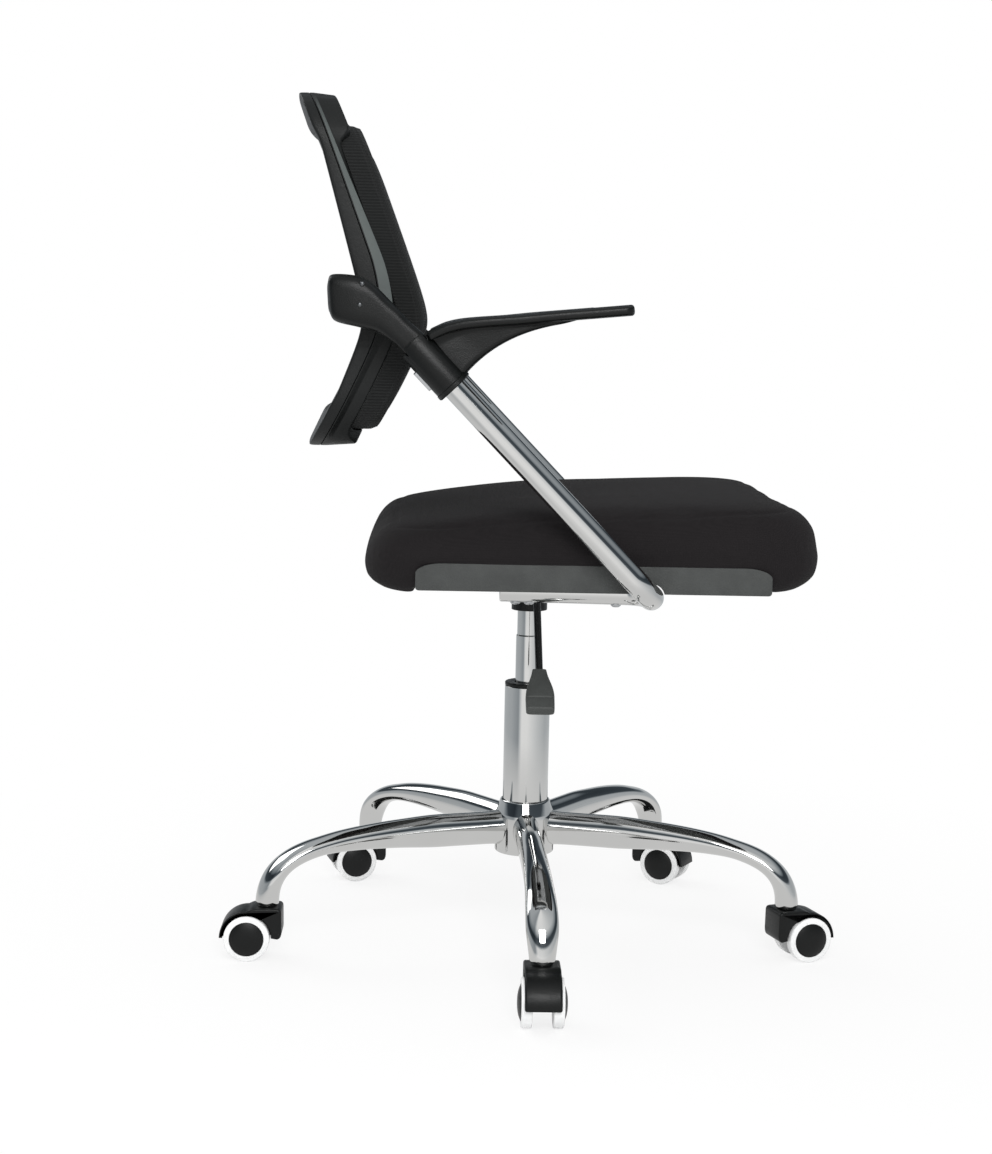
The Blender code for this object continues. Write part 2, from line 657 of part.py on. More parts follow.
def side_tube(chair, name, side):
    """Bent tube from the runner's rear end to its flattened, drilled top end at the hinge."""
    start = Vector((PIVOT_X, side * TUBE_Y, PIVOT_Z)) + TUBE_DIRECTION * TONGUE_CLEAR
    elbow = Vector((ELBOW_X, side * TUBE_Y, RUNNER_Z))
    inner = Vector((ELBOW_X, side * RUNNER_FRONT_Y, RUNNER_Z))
    rear = Vector((RUNNER_REAR_X, side * RUNNER_REAR_Y, RUNNER_Z))
    mesh = bar(filleted([start, elbow, inner, rear], TUBE_BEND, 6), TUBE_RADIUS, TUBE_SIDES_RESOLUTION)
    root = TONGUE_CLEAR + TUBE_RADIUS
    outline = arc((0.0, 0.0), TONGUE_RADIUS, 90.0, 270.0, 8)
    outline += [(root, -TONGUE_RADIUS), (root, TONGUE_RADIUS)]
    hole = arc((0.0, 0.0), PIN_RADIUS + SEAT_GAP, 330.0, 0.0, 11)
    tongue = slab(outline, TONGUE_THICKNESS, [hole])
    place = Matrix.Translation((PIVOT_X, side * TUBE_Y, PIVOT_Z))
    mesh = union(mesh, tongue, place @ Matrix.Rotation(TUBE_SLOPE, 4, "Y") @ ALONG_Y)
    node(name, mesh, "chrome", chair)


def lever(chair):
    """Height lever: a bent rod that rocks in the release box, with a moulded paddle on its outer end."""
    pivot = anchor("lever_axis", chair, (LEVER_X, LEVER_PIVOT_Y, LEVER_Z))
    down = Vector((0.0, -math.cos(LEVER_DROP), -math.sin(LEVER_DROP)))
    bend = Vector((0.0, -LEVER_NECK, 0.0))
    paddle_start = bend + down * LEVER_RUN
    inner_end = Vector((0.0, -LEVER_PIVOT_Y, 0.0))
    rod_end = paddle_start + down * PADDLE_GRIP
    path = filleted([inner_end, bend, rod_end], 2 * LEVER_RADIUS, 4)
    node("lever_rod", bar(path, LEVER_RADIUS, 4), "steel", pivot)
    up = Vector((1.0, 0.0, 0.0)).cross(down)
    shape = ((0.0, 0.50, 0.90), (0.10, 0.56, 0.92), (0.55, 0.97, 1.0))
    shape += ((0.66, 1.0, 1.0), (0.95, 0.98, 0.96), (1.0, 0.86, 0.65))
    rows = []
    for share, wide, thick in shape:
        corner = 0.3 * PADDLE_THICKNESS * thick
        loop = rounded_box(wide * PADDLE_WIDTH / 2, thick * PADDLE_THICKNESS / 2, corner, 2)
        rows.append(placed(loop, paddle_start + down * PADDLE_LENGTH * share, (1.0, 0.0, 0.0), up))
    paddle = skin(rows)
    bore = bar([paddle_start - down * PADDLE_GRIP, rod_end + down * SEAT_GAP], LEVER_RADIUS + SEAT_GAP, 4)
    node("lever_paddle", cut(paddle, bore), "black_plastic", pivot)


# Seat


def seat_pan(chair):
    """Moulded tray: a floor between two side walls with rounded upper corners, notched for the tubes."""
    length = PAN_FRONT_X - PAN_REAR_X
    rise = PAN_RISE
    rows = []
    for share in (0.0, 0.1, 0.35, 0.65, 1.0):
        rows.append((PAN_CORNER * share, rise * math.sqrt(1.0 - (1.0 - share) ** 2)))
    stations = rows + [(length - run, height) for run, height in reversed(rows)]
    outer = PAN_HALF_WIDTH
    inner = PAN_HALF_WIDTH - PAN_WALL
    low = PAN_FLOOR_BOTTOM - PAN_SKIRT
    loops = []
    for run, height in stations:
        high = PAN_FLOOR_TOP + max(height, 0.001)
        half = [(outer, low), (outer, high), (inner, high), (inner, PAN_FLOOR_TOP)]
        half += [(-inner, PAN_FLOOR_TOP), (-inner, high), (-outer, high), (-outer, low)]
        half += [(-inner, low), (-inner, PAN_FLOOR_BOTTOM), (inner, PAN_FLOOR_BOTTOM), (inner, low)]
        loops.append([(PAN_REAR_X + run, y, z) for y, z in half])
    mesh = skin(loops)
    clear = TUBE_RADIUS + 2 * RUN_GAP
    for side in (-1, 1):
        outside, inside = side * (TUBE_Y + TUBE_BEND), side * RUNNER_REAR_Y
        notch = bar([(ELBOW_X, outside, RUNNER_Z), (ELBOW_X, inside, RUNNER_Z)], clear, 4)
        mesh = cut(mesh, notch)
    node("seat_pan", mesh, "grey_plastic", chair)


def seat_board(chair):
    """Plywood board between the pan's walls."""
    half_x = (PAN_FRONT_X - PAN_REAR_X) / 2 - BOARD_MARGIN
    half_y = PAN_HALF_WIDTH - PAN_WALL - BOARD_MARGIN
    outline = rounded_box(half_x, half_y, CUSHION_CORNER / 2, 4)
    place = ((PAN_FRONT_X + PAN_REAR_X) / 2, 0.0, BOARD_BOTTOM + BOARD_THICKNESS / 2)
    node("seat_board", slab(outline, BOARD_THICKNESS), "plywood", chair, place)


def seat_cushion(chair):
    """Crowned cushion with drawn-in sides, whose ends hang over the pan; the board lies in its underside."""
    half_x = (CUSHION_FRONT_X - CUSHION_REAR_X) / 2
    middle = (CUSHION_FRONT_X + CUSHION_REAR_X) / 2
    wall_top = PAN_FLOOR_TOP + PAN_RISE
    low = PAN_FLOOR_TOP - CUSHION_LIP
    tuck = CUSHION_HALF_WIDTH - PAN_HALF_WIDTH + PAN_WALL + 0.0015
    high = BOARD_BOTTOM + CUSHION_HEIGHT
    body = high - wall_top
    levels = [(0.030, 0.024, low), (0.012, 0.014, low + 0.007), (0.003, tuck, low + 0.017)]
    levels += [(0.0, tuck, wall_top + 0.0045), (0.0, 0.002, wall_top + 0.20 * body)]
    levels += [(0.001, 0.0, wall_top + 0.38 * body)]
    levels += [(0.007, 0.003, wall_top + 0.60 * body), (0.020, 0.012, wall_top + 0.79 * body)]
    levels += [(0.042, 0.030, wall_top + 0.905 * body), (0.085, 0.070, wall_top + 0.965 * body)]
    levels += [(0.150, 0.155, high)]
    rows = []
    for inset_x, inset_y, height in levels:
        corner = CUSHION_CORNER * (1.0 - 0.5 * inset_x / 0.150)
        loop = rounded_box(half_x - inset_x, CUSHION_HALF_WIDTH - inset_y, corner, 4, sides=3)
        share = loop / (half_x, CUSHION_HALF_WIDTH)
        loop = loop * (1.0 - CUSHION_DRAW / half_x * (1.0 - np.clip(np.abs(share[:, ::-1]), 0.0, 1.0) ** 2))
        raised = 0.4 + 0.6 * (height - low) / (high - low)
        above_wall = max(0.0, (height - wall_top) / body)
        fall = CUSHION_REAR_FALL * ease(-0.25 - loop[:, 0] / (0.75 * half_x)) * above_wall
        heights = height + raised * math.tan(CUSHION_SLOPE) * loop[:, 0] - fall
        rows.append(np.column_stack([loop[:, 0] + middle, loop[:, 1], heights]))
    mesh = skin(rows)
    reach = PAN_HALF_WIDTH + CUSHION_CORNER
    pan_room = box((PAN_REAR_X - RUN_GAP, -reach, low - BOARD_THICKNESS),
                   (PAN_FRONT_X + RUN_GAP, reach, BOARD_BOTTOM))
    mesh = cut(mesh, pan_room)
    margin = BOARD_MARGIN - RUN_GAP
    side = PAN_HALF_WIDTH - PAN_WALL - margin
    board_low = (PAN_REAR_X + margin, -side, PAN_FLOOR_BOTTOM)
    board_high = (PAN_FRONT_X - margin, side, BOARD_TOP + SEAT_GAP)
    node("seat_cushion", cut(mesh, box(board_low, board_high)), "seat_fabric", chair)


# Arms and hinge


def armrest_mesh():
    """Arm in the tube's plane, measured from the hinge: pad, web below it and sleeve on the tube."""
    pad_rows = []
    sizes = ((0.0, 0.45, 0.7), (0.12, 0.72, 0.9), (0.28, 0.92, 1.0))
    sizes += ((0.45, 1.0, 1.0), (0.62, 1.0, 1.0), (0.80, 1.0, 1.0))
    sizes += ((0.93, 0.97, 1.0), (0.98, 0.88, 1.0), (1.0, 0.70, 0.75))
    for share, wide, thick in sizes:
        point, along = bezier(PAD_CURVE, share)
        loop = rounded_box(wide * PAD_WIDTH / 2, thick * PAD_THICKNESS / 2, 0.36 * PAD_THICKNESS * thick, 2)
        pad_rows.append(placed(loop, (point[0], 0.0, point[1]), (0.0, 1.0, 0.0), (-along[1], 0.0, along[0])))
    web_rows = []
    for share in (0.0, 0.2, 0.4, 0.6, 0.8, 1.0):
        low, _ = bezier(WEB_CURVE, share)
        top_share = 0.9 - 0.82 * share
        top, _ = bezier(PAD_CURVE, top_share)
        half = WEB_THICKNESS / 2 * (0.55 + 0.45 * min(1.0, 2 * share))
        chamfer = 0.35 * half
        up = np.array([top[0] - low[0], 0.0, top[1] - low[1]])
        base = np.array([low[0], 0.0, low[1]])
        step = up / np.linalg.norm(up) * min(chamfer, 0.4 * np.linalg.norm(up))
        side = np.array([0.0, 1.0, 0.0])
        loop = [base - side * (half - chamfer), base + side * (half - chamfer), base + step + side * half]
        loop += [base + up + side * half, base + up - side * half, base + step - side * half]
        web_rows.append(loop)
    mesh = union(skin(pad_rows), skin(web_rows))
    length = SLEEVE_END - SLEEVE_START
    lip = 0.004
    profile = [(0.0, length), (SLEEVE_RADIUS, length), (SLEEVE_RADIUS, lip)]
    profile += [(SLEEVE_RADIUS - lip, 0.0), (0.0, 0.0)]
    along_tube = TUBE_DIRECTION.to_track_quat("-Z", "Y").to_matrix().to_4x4()
    sleeve_place = Matrix.Translation(TUBE_DIRECTION * SLEEVE_END) @ along_tube
    mesh = union(mesh, turned(profile, 20), sleeve_place)
    bore = cylinder(TUBE_RADIUS + RUN_GAP, -SLEEVE_END, 2 * SLEEVE_END, 20)
    mesh = cut(mesh, bore, sleeve_place)
    hollow = cylinder(KNUCKLE_RADIUS + 2 * RUN_GAP, -PAD_WIDTH, PAD_WIDTH, 24)
    return cut(mesh, hollow, ALONG_Y)


def lug_mesh(side):
    """Moulded arm from the hinge fork to a block on the side of the back, measured from the hinge."""
    inner = BACK_HALF_WIDTH + SEAT_GAP
    arm_inner = TUBE_Y - KNUCKLE_HALF
    arm_outer = TUBE_Y + KNUCKLE_HALF
    rows = []
    for top, bottom, spread, inset in zip(LUG_TOPS, LUG_BOTTOMS, LUG_SPREADS, LUG_INSETS):
        near = inner + (arm_inner - inner) * spread
        far = arm_outer - inset
        tall = math.dist(top, bottom)
        centre = ((top[0] + bottom[0]) / 2, side * (near + far) / 2, (top[1] + bottom[1]) / 2)
        upward = np.array([top[0] - bottom[0], 0.0, top[1] - bottom[1]]) / tall
        loop = rounded_box((far - near) / 2, tall / 2, LUG_ROUNDING, 2)
        rows.append(placed(loop, centre, (0.0, side, 0.0), upward))
    mesh = skin(rows)
    at_hinge = across((0.0, side * TUBE_Y, 0.0))
    mesh = union(mesh, cylinder(KNUCKLE_RADIUS, -KNUCKLE_HALF, KNUCKLE_HALF, 24), at_hinge)
    slot = TONGUE_THICKNESS / 2 + RUN_GAP
    mesh = cut(mesh, cylinder(KNUCKLE_RADIUS + 2 * RUN_GAP, -slot, slot, 24), at_hinge)
    blind = KNUCKLE_HALF - PIN_COVER + SEAT_GAP
    ends = sorted((side * 2 * KNUCKLE_HALF, -side * blind))
    return cut(mesh, cylinder(PIN_RADIUS + RUN_GAP, ends[0], ends[1], 16), at_hinge)


def arms(chair, recline):
    """Tube, armrest, hinge pin and lug on each side; the pin goes in from the inside, blind outside."""
    armrest = armrest_mesh()
    tip = KNUCKLE_HALF - PIN_COVER
    head = -KNUCKLE_HALF - SEAT_GAP
    profile = [(0.0, tip), (PIN_RADIUS, tip), (PIN_RADIUS, head), (PIN_HEAD_RADIUS, head)]
    profile += [(PIN_HEAD_RADIUS, head - PIN_HEAD), (0.0, head - PIN_HEAD)]
    pin = turned(profile, 16)
    pin.transform(ALONG_Y)
    for name, side, turn in (("right", -1, 0.0), ("left", 1, math.pi)):
        hinge = (PIVOT_X, side * TUBE_Y, PIVOT_Z)
        side_tube(chair, f"side_tube_{name}", side)
        node(f"armrest_{name}", armrest, "black_plastic", chair, hinge)
        node(f"hinge_pin_{name}", pin, "steel", chair, hinge, turn)
        node(f"back_lug_{name}", lug_mesh(side), "black_plastic", recline)


# Back


def lean(z):
    """Front plane of the back's frame: two straight runs joined by a soft bend at the lumbar height."""
    t = z - LUMBAR_Z
    root = np.sqrt(t * t + LUMBAR_SOFTNESS ** 2)
    return LUMBAR_X - UPPER_LEAN * (t + root) / 2 - LOWER_LEAN * (root - t) / 2


def bow(y):
    """How far the back bows rearwards between its two sides."""
    return BACK_BOW * (1.0 - (y / BACK_HALF_WIDTH) ** 2)


def ease(value):
    """Smooth step from 0 to 1."""
    value = np.clip(value, 0.0, 1.0)
    return value * value * (3.0 - 2.0 * value)


def stile_depth(z):
    """Depth of the back's members: deepest at the lumbar height, with a swell behind the two bars."""
    heights = (BACK_BOTTOM + BACK_BAR, LUMBAR_Z, LUMBAR_Z + 0.050, BACK_TOP - BACK_CORNER)
    depth = np.interp(z, heights, (STILE_BOTTOM_DEPTH, STILE_DEPTH, STILE_DEPTH - 0.004, STILE_TOP_DEPTH))
    top = ease((z - BACK_TOP + BACK_CORNER) / 0.012) * (1.0 - ease((z - BACK_TOP + 0.030) / 0.060))
    bottom = ease((BACK_BOTTOM + BACK_CORNER - z) / 0.015) * (1.0 - ease((BACK_BOTTOM + 0.020 - z) / 0.040))
    return depth + BAR_SWELL * (top + bottom)


def frame_depth(z):
    """Depth of the front half of the frame, greater below the hinge."""
    return FRAME_DEPTH + (FRAME_LOWER_DEPTH - FRAME_DEPTH) * ease((LUMBAR_Z + 0.070 - z) / 0.090)


def back_loop(half_width, low, high, corner, steps=5):
    """Outline of the back from the front, as (y, z) points that are closest together at the lumbar bend."""
    left = half_width - corner
    quarters = ((left, high - corner), (-left, high - corner), (-left, low + corner), (left, low + corner))
    across_bar = np.array(BOW_STEPS)
    heights = LUMBAR_Z + np.array(BEND_STEPS)
    top = np.column_stack([across_bar[::-1], np.full(len(across_bar), high)])
    right_side = np.column_stack([np.full(len(heights), -half_width), heights[::-1]])
    bottom = np.column_stack([across_bar, np.full(len(across_bar), low)])
    left_side = np.column_stack([np.full(len(heights), half_width), heights])
    points = []
    for quarter, straight in enumerate((top, right_side, bottom, left_side)):
        bend = np.array(arc(quarters[quarter], corner, 90 * quarter, 90 * quarter + 90, steps))
        points += [bend, straight]
    return np.concatenate(points)


def back_ring(outer, inner, section):
    """Closed loop of the back: a section carried round between an outer and an inner outline.

    Each section point gives its share of the way inwards, one for all or one for each station, and a
    function of height for its place in depth.
    """
    rows = []
    for share, depth in section:
        shares = np.broadcast_to(share, len(outer))[:, None]
        flat = outer + (inner - outer) * shares
        rows.append(np.column_stack([depth(flat[:, 1]) - bow(flat[:, 0]), flat]))
    return skin(np.stack(rows, axis=1), ring=True)


def free_share(outer, inner, half, low, high, corner):
    """Share of the way inwards that stays clear of a rounded rectangle, at each station."""
    shares = np.linspace(0.0, 1.0, 101)
    points = outer[:, None] + (inner - outer)[:, None] * shares[None, :, None]
    beyond = np.abs(points - (0.0, (low + high) / 2)) - (half - corner, (high - low) / 2 - corner)
    outside = np.linalg.norm(np.maximum(beyond, 0.0), axis=2)
    distance = outside + np.minimum(beyond.max(axis=2), 0.0) - corner
    return (distance > 5 * RUN_GAP).cumprod(axis=1).mean(axis=1)


def back(recline):
    """Rear cover, front frame, mesh carrier and mesh, all leaning and bowed alike."""
    outer = back_loop(BACK_HALF_WIDTH, BACK_BOTTOM, BACK_TOP, BACK_CORNER)
    inner_corner = BACK_CORNER - BACK_STILE / 2
    inner_low, inner_high = BACK_BOTTOM + BACK_BAR, BACK_TOP - BACK_BAR
    inner = back_loop(BACK_HALF_WIDTH - BACK_STILE, inner_low, inner_high, inner_corner)
    half = BACK_HALF_WIDTH - CARRIER_INSET
    low = BACK_BOTTOM + BACK_BAR / 2 + CARRIER_INSET / 2
    high = BACK_TOP - BACK_BAR - CARRIER_INSET
    free = free_share(outer, inner, half, low, high, CARRIER_CORNER)
    lip_end = np.clip(free, 0.25, 0.86)
    lip = BAR_LIP * ease((free - 0.25) / 0.2)

    def rear(z):
        return lean(z) - stile_depth(z)

    def cover_face(z):
        return lean(z) - frame_depth(z) - RUN_GAP / 2

    def frame_face(z):
        return lean(z) - frame_depth(z) + RUN_GAP / 2

    def level_rear(share, rise):
        """Rear point whose depth follows the outer edge, so that the uprights stay square."""
        bowed = bow(outer[:, 0] + (inner - outer)[:, 0] * share) - bow(outer[:, 0])
        return share, lambda z: rear(z) + rise + bowed

    cover = [(0.67, cover_face), (0.33, cover_face), (0.0, cover_face), level_rear(0.0, 0.005)]
    cover += [level_rear(0.18, 0.0), level_rear(0.80, 0.0), level_rear(1.0, 0.004), (1.0, cover_face)]
    node("back_cover", back_ring(outer, inner, cover), "black_plastic", recline)
    frame = [(0.0, frame_face), (0.33, frame_face), (0.67, frame_face), (1.0, frame_face)]
    frame += [(1.0, lambda z: lean(z) - 0.002), (0.95, lean)]
    frame += [(lip_end + 0.04, lean), (lip_end, lambda z: lean(z) + lip)]
    frame += [(0.22, lambda z: lean(z) + lip), (0.0, lambda z: lean(z) + lip - FRAME_CHAMFER)]
    node("back_frame", back_ring(outer, inner, frame), "grey_plastic", recline)
    carrier_outer = back_loop(half, low, high, CARRIER_CORNER)
    inner_corner = CARRIER_CORNER - CARRIER_WIDTH / 2
    carrier_inner = back_loop(half - CARRIER_WIDTH, low + CARRIER_WIDTH, high - CARRIER_WIDTH, inner_corner)

    def carrier_back(z):
        return lean(z) + SEAT_GAP

    def carrier_front(z):
        return lean(z) + CARRIER_DEPTH

    carrier = [(0.0, carrier_back), (1.0, carrier_back)]
    carrier += [(1.0, lambda z: carrier_front(z) - 0.004), (0.75, carrier_front)]
    carrier += [(0.25, carrier_front), (0.0, lambda z: carrier_front(z) - 0.006)]
    node("mesh_carrier", back_ring(carrier_outer, carrier_inner, carrier), "black_plastic", recline)
    node("back_mesh", mesh_sheet(half, low, high), "mesh_fabric", recline)


def mesh_sheet(half, low, high):
    """Mesh stretched over the carrier's front, following its lean and bow."""
    corner_angles = np.radians(np.linspace(0.0, 90.0, 5))
    reach = half - CARRIER_CORNER
    rises = CARRIER_CORNER * (1.0 - np.sin(corner_angles))
    widths = reach + CARRIER_CORNER * np.cos(corner_angles)
    upper = list(zip(high - rises, widths))
    lower = list(zip(low + rises, widths))
    inside = [(LUMBAR_Z + step, half) for step in BEND_STEPS]
    rows = []
    for z, wide in list(reversed(lower)) + inside + upper:
        y = np.array([-wide, *BOW_STEPS, wide])
        behind = lean(z) + CARRIER_DEPTH + SEAT_GAP - bow(y)
        z_row = np.full_like(y, z)
        rear_row = np.column_stack([behind, y, z_row])
        front_row = np.column_stack([behind + MESH_THICKNESS, y, z_row])[::-1]
        rows.append(np.concatenate([rear_row, front_row]))
    return skin(rows)


def build():
    """The whole chair, under one anchor that centres it on the floor."""
    for old in list(bpy.data.objects):
        bpy.data.objects.remove(old)
    chair = anchor("chair", None, (CHAIR_SHIFT_X, CHAIR_SHIFT_Y, 0.0))
    recline = anchor("recline_axis", chair, (PIVOT_X, 0.0, PIVOT_Z))
    star_base(chair)
    casters(chair)
    column(chair)
    column_socket(chair)
    mount_plate(chair)
    lever(chair)
    seat_pan(chair)
    seat_board(chair)
    seat_cushion(chair)
    arms(chair, recline)
    back(recline)


build()
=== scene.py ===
"""Looks of a mesh-back task chair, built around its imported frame.

The chair faces +X, the sitter's left is +Y and the floor is at zero height. Sizes are in metres.
Every new surface is a grid of points worked out from two parameters, one along and one round.
"""

import functools
import json
import math

import bmesh
import bpy
import numpy as np
from bpy.props import FloatProperty, FloatVectorProperty, PointerProperty
from mathutils import Matrix


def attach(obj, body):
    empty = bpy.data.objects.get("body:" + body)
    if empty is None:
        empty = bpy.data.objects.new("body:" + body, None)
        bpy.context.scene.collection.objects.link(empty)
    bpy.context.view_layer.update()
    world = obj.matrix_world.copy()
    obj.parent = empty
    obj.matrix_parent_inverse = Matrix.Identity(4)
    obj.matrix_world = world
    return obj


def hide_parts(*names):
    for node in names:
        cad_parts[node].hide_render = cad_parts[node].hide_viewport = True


bl_info = {
    "name": "Task chair looks",
    "version": (1, 0, 0),
    "blender": (4, 5, 0),
    "location": "3D View > Sidebar > Chair",
    "description": "Builds the visible pieces of a task chair on its frame",
    "category": "Object",
}

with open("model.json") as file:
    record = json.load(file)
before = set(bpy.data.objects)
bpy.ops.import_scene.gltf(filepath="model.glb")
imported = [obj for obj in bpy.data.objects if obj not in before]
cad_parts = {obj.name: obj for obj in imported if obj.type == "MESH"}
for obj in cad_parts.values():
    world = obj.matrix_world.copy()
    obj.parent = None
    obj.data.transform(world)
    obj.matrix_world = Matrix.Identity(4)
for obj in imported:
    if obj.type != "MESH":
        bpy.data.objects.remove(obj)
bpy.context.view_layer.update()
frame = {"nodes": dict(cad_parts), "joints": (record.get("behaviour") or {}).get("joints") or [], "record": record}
JOINTS = {joint["name"]: joint for joint in frame["joints"]}
BODIES = frame["record"]["behaviour"]["bodies"]
BODY_OF = {node: body for body, nodes in BODIES.items() for node in nodes}
COLUMN = np.array(JOINTS["column_swivel"]["pos_m"]) * (1.0, 1.0, 0.0)
HINGE = np.array(JOINTS["back_recline"]["pos_m"])
SIDES = (("right", -1.0), ("left", 1.0))
CASTERS = ("caster_1", "caster_2", "caster_3", "caster_4", "caster_5")
X_AXIS, Y_AXIS, Z_AXIS = np.eye(3)

# Clearances of pieces that seat on one another, and of pieces that run in one another
SEATED, RUNNING = 0.0003, 0.0006

# Base and column
LEG_CURVE = ((0.0275, 0.1265), (0.2005, 0.128), (0.301, 0.1341), (0.300, 0.0586))
LEG_HEIGHTS = ((0.0, 0.15, 0.27, 0.45, 0.56, 0.70, 1.0),
               (0.037, 0.037, 0.0315, 0.0235, 0.020, 0.020, 0.026))
LEG_WIDTHS = ((0.0, 0.5, 0.8, 1.0), (0.028, 0.030, 0.034, 0.026))
WELD_SWELL, WELD_FADE, TIP_DRAW, TIP_RUN = 0.10, 0.012, 0.16, 0.015
LEG_TURNS = np.radians(-88.5 + 72.0 * np.arange(5))
HUB_RADIUS, HUB_LOW, HUB_TOP, HUB_CONE, HUB_LIP = 0.0335, 0.098, 0.141, 0.158, 0.002
COLUMN_RADIUS, COLUMN_TOP, COLUMN_WALL = 0.0255, 0.288, 0.002
BUSH_TOP, BUSH_LOW = 0.2923, 0.228
COLUMN_FLOOR = BUSH_LOW - 0.006
CYLINDER_RADIUS, CYLINDER_LOW, CYLINDER_TOP = 0.014, 0.1971, 0.4021
CYLINDER_STEP, STEP_DEPTH = 0.3450, 0.0010
RELEASE_PIN_RADIUS, RELEASE_PIN_RISE = 0.004, 0.0055

# Casters, about the wheels' centre
WHEEL_RADIUS, WHEEL_NEAR, WHEEL_FAR, WHEEL_BORE = 0.025, 0.0105, 0.0215, 0.0047
CAP_RADIUS, CAP_SEAT, CAP_DOME, CAP_POWER = 0.0185, 0.0170, 0.0037, 2.6
HOOD_RADIUS, HOOD_INSIDE, HOOD_HALF, HOOD_EDGE = 0.030, 0.0264, 0.0185, 0.0022
HOOD_TOP, HOOD_REAR, HOOD_FOOT = 0.033, -0.038, -0.001
WEB_RADIUS, WEB_BOSS, WEB_HALF, WEB_EDGE = 0.0276, 0.0088, 0.0102, 0.0008

# Side tubes and hinge
TUBE_RADIUS, TUBE_Y, TUBE_BEND, TUBE_SLOPE = 0.0127, 0.264, 0.028, math.radians(45.9)
TUBE_RIM = 0.0015
ALONG_TUBE = np.array([math.cos(TUBE_SLOPE), 0.0, -math.sin(TUBE_SLOPE)])
ABOVE_TUBE = np.array([math.sin(TUBE_SLOPE), 0.0, math.cos(TUBE_SLOPE)])
RUNNER_Z, RUNNER_FRONT_Y, RUNNER_REAR = 0.4207, 0.203, (-0.039, 0.190)
TONGUE_RADIUS, TONGUE_HALF, TONGUE_LENGTH, TONGUE_FADE = 0.012, 0.004, 0.0152, 0.010
ELBOW_X = HINGE[0] - COLUMN[0] + (HINGE[2] - RUNNER_Z) / math.tan(TUBE_SLOPE)
KNUCKLE_RADIUS, KNUCKLE_HALF, SLOT_HALF = 0.0135, 0.014, 0.0046
CHEEK_GAP, HOLLOW_GAP = 0.00035, 0.0005

# Armrests and lugs, from the hinge; the rib's top and the lug's slot are counted in points of their lines
PAD_LINE = ((0.0150, 0.0062), (0.0240, 0.0108), (0.0350, 0.0155), (0.0510, 0.0193), (0.0730, 0.0219),
            (0.1040, 0.0246), (0.1387, 0.0286), (0.1800, 0.0327), (0.2150, 0.0362))
PAD_HALVES = (0.0176, 0.0190, 0.0204, 0.0219, 0.0229, 0.0230, 0.0230, 0.0230, 0.0228)
PAD_THICKNESS, PAD_ROOT_RIM, PAD_END_RIM, PAD_END_PLAN = 0.011, 0.002, 0.0025, 0.009
RIB_CURVE = ((0.190, 0.0250), (0.110, 0.0240), (0.072, -0.0045), (0.050, -0.032))
RIB_TOP = (7.3, 0.2)
RIB_HALF, RIB_MIDDLE_GAIN, RIB_ROOT_GAIN, RIB_TIP_LIFT = 0.0046, 0.0036, 0.0020, 0.006
RIB_FOOT, FLARE_REACH, FLARE_START, FLARE_RUN = 0.005, 0.005, 0.0045, 0.008
SLEEVE_RADIUS, SLEEVE_BORE, SLEEVE_EAR, SLEEVE_START, SLEEVE_END = 0.0185, 0.0132, -0.002, 0.003, 0.060
SLEEVE_MOUTH_RIM, SLEEVE_BEAD = 0.0010, 0.0008
BEAD_START, BEAD_FULL, BEAD_END, SLEEVE_END_RIM = 0.0545, 0.0553, 0.0588, 0.0004
CLIP_PLACE, CLIP_HALF_LONG, CLIP_HALF_WIDE, CLIP_CORNER = 0.0335, 0.0115, 0.0045, 0.0015
CLIP_OUT, CLIP_IN, CLIP_EDGE = -0.0024, 0.004, 0.0006
LUG_TOPS = ((-0.0855, 0.058), (-0.080, 0.065), (-0.056, 0.064), (-0.041, 0.057), (-0.026, 0.043),
            (-0.011, 0.028), (0.003, 0.012))
LUG_BOTTOMS = ((-0.0835, 0.027), (-0.076, 0.019), (-0.054, 0.014), (-0.038, 0.010), (-0.030, 0.006),
               (-0.021, 0.001), (-0.012, -0.005))
LUG_NEAR = (0.2173, 0.2173, 0.2173, 0.2173, 0.2288, 0.250, 0.250)
LUG_FAR = (0.268, 0.275, 0.278, 0.278, 0.278, 0.278, 0.278)
LUG_RIM, LUG_SLOT = 0.004, 5.3

# Fasteners: heads as radius and rise, screws from the hinge and bolts along the runner
LUG_SCREWS = ((-0.0505, 0.0560), (-0.0525, 0.0360))
SCREW_HEAD = ((0.0, 0.0012), (0.0011, 0.0011), (0.0020, 0.0006), (0.0024, -0.0002), (0.0024, -0.002),
              (0.0, -0.002))
BOLT_HEAD = ((0.0, 0.0030), (0.0034, 0.0027), (0.0052, 0.0012), (0.0055, -0.0006), (0.0055, -0.003),
             (0.0, -0.003))
BOLT_PLACES, BOLT_SUNK = (-0.023, -0.009, 0.080), 0.0004

# Back, from the hinge
BACK_HALF, BACK_TOP, BACK_LOW, BACK_CORNER = 0.217, 0.248, -0.108, 0.055
BACK_BAR, BACK_STILE = 0.036, 0.032
COVER_EDGE, COVER_SHORT, COVER_SHORT_ABOVE = 0.005, 0.008, 0.2
BACK_BOW, LUMBAR_X, LUMBAR_Z, LUMBAR_SOFT = 0.0105, -0.0085, 0.018, 0.020
UPPER_LEAN, LOWER_LEAN = 0.38, 0.495
STILE_DEPTHS = ((-0.072, 0.018, 0.068, 0.193), (0.031, 0.036, 0.032, 0.020))
BAR_SWELL, TOP_SWELL, LOW_SWELL = 0.002, (0.200, 0.012, 0.218, 0.060), (-0.053, -0.015, -0.088, -0.040)
TRIM_DEPTH, TRIM_GAIN, TRIM_GAIN_HIGH, TRIM_GAIN_RUN = 0.010, 0.010, 0.088, 0.090
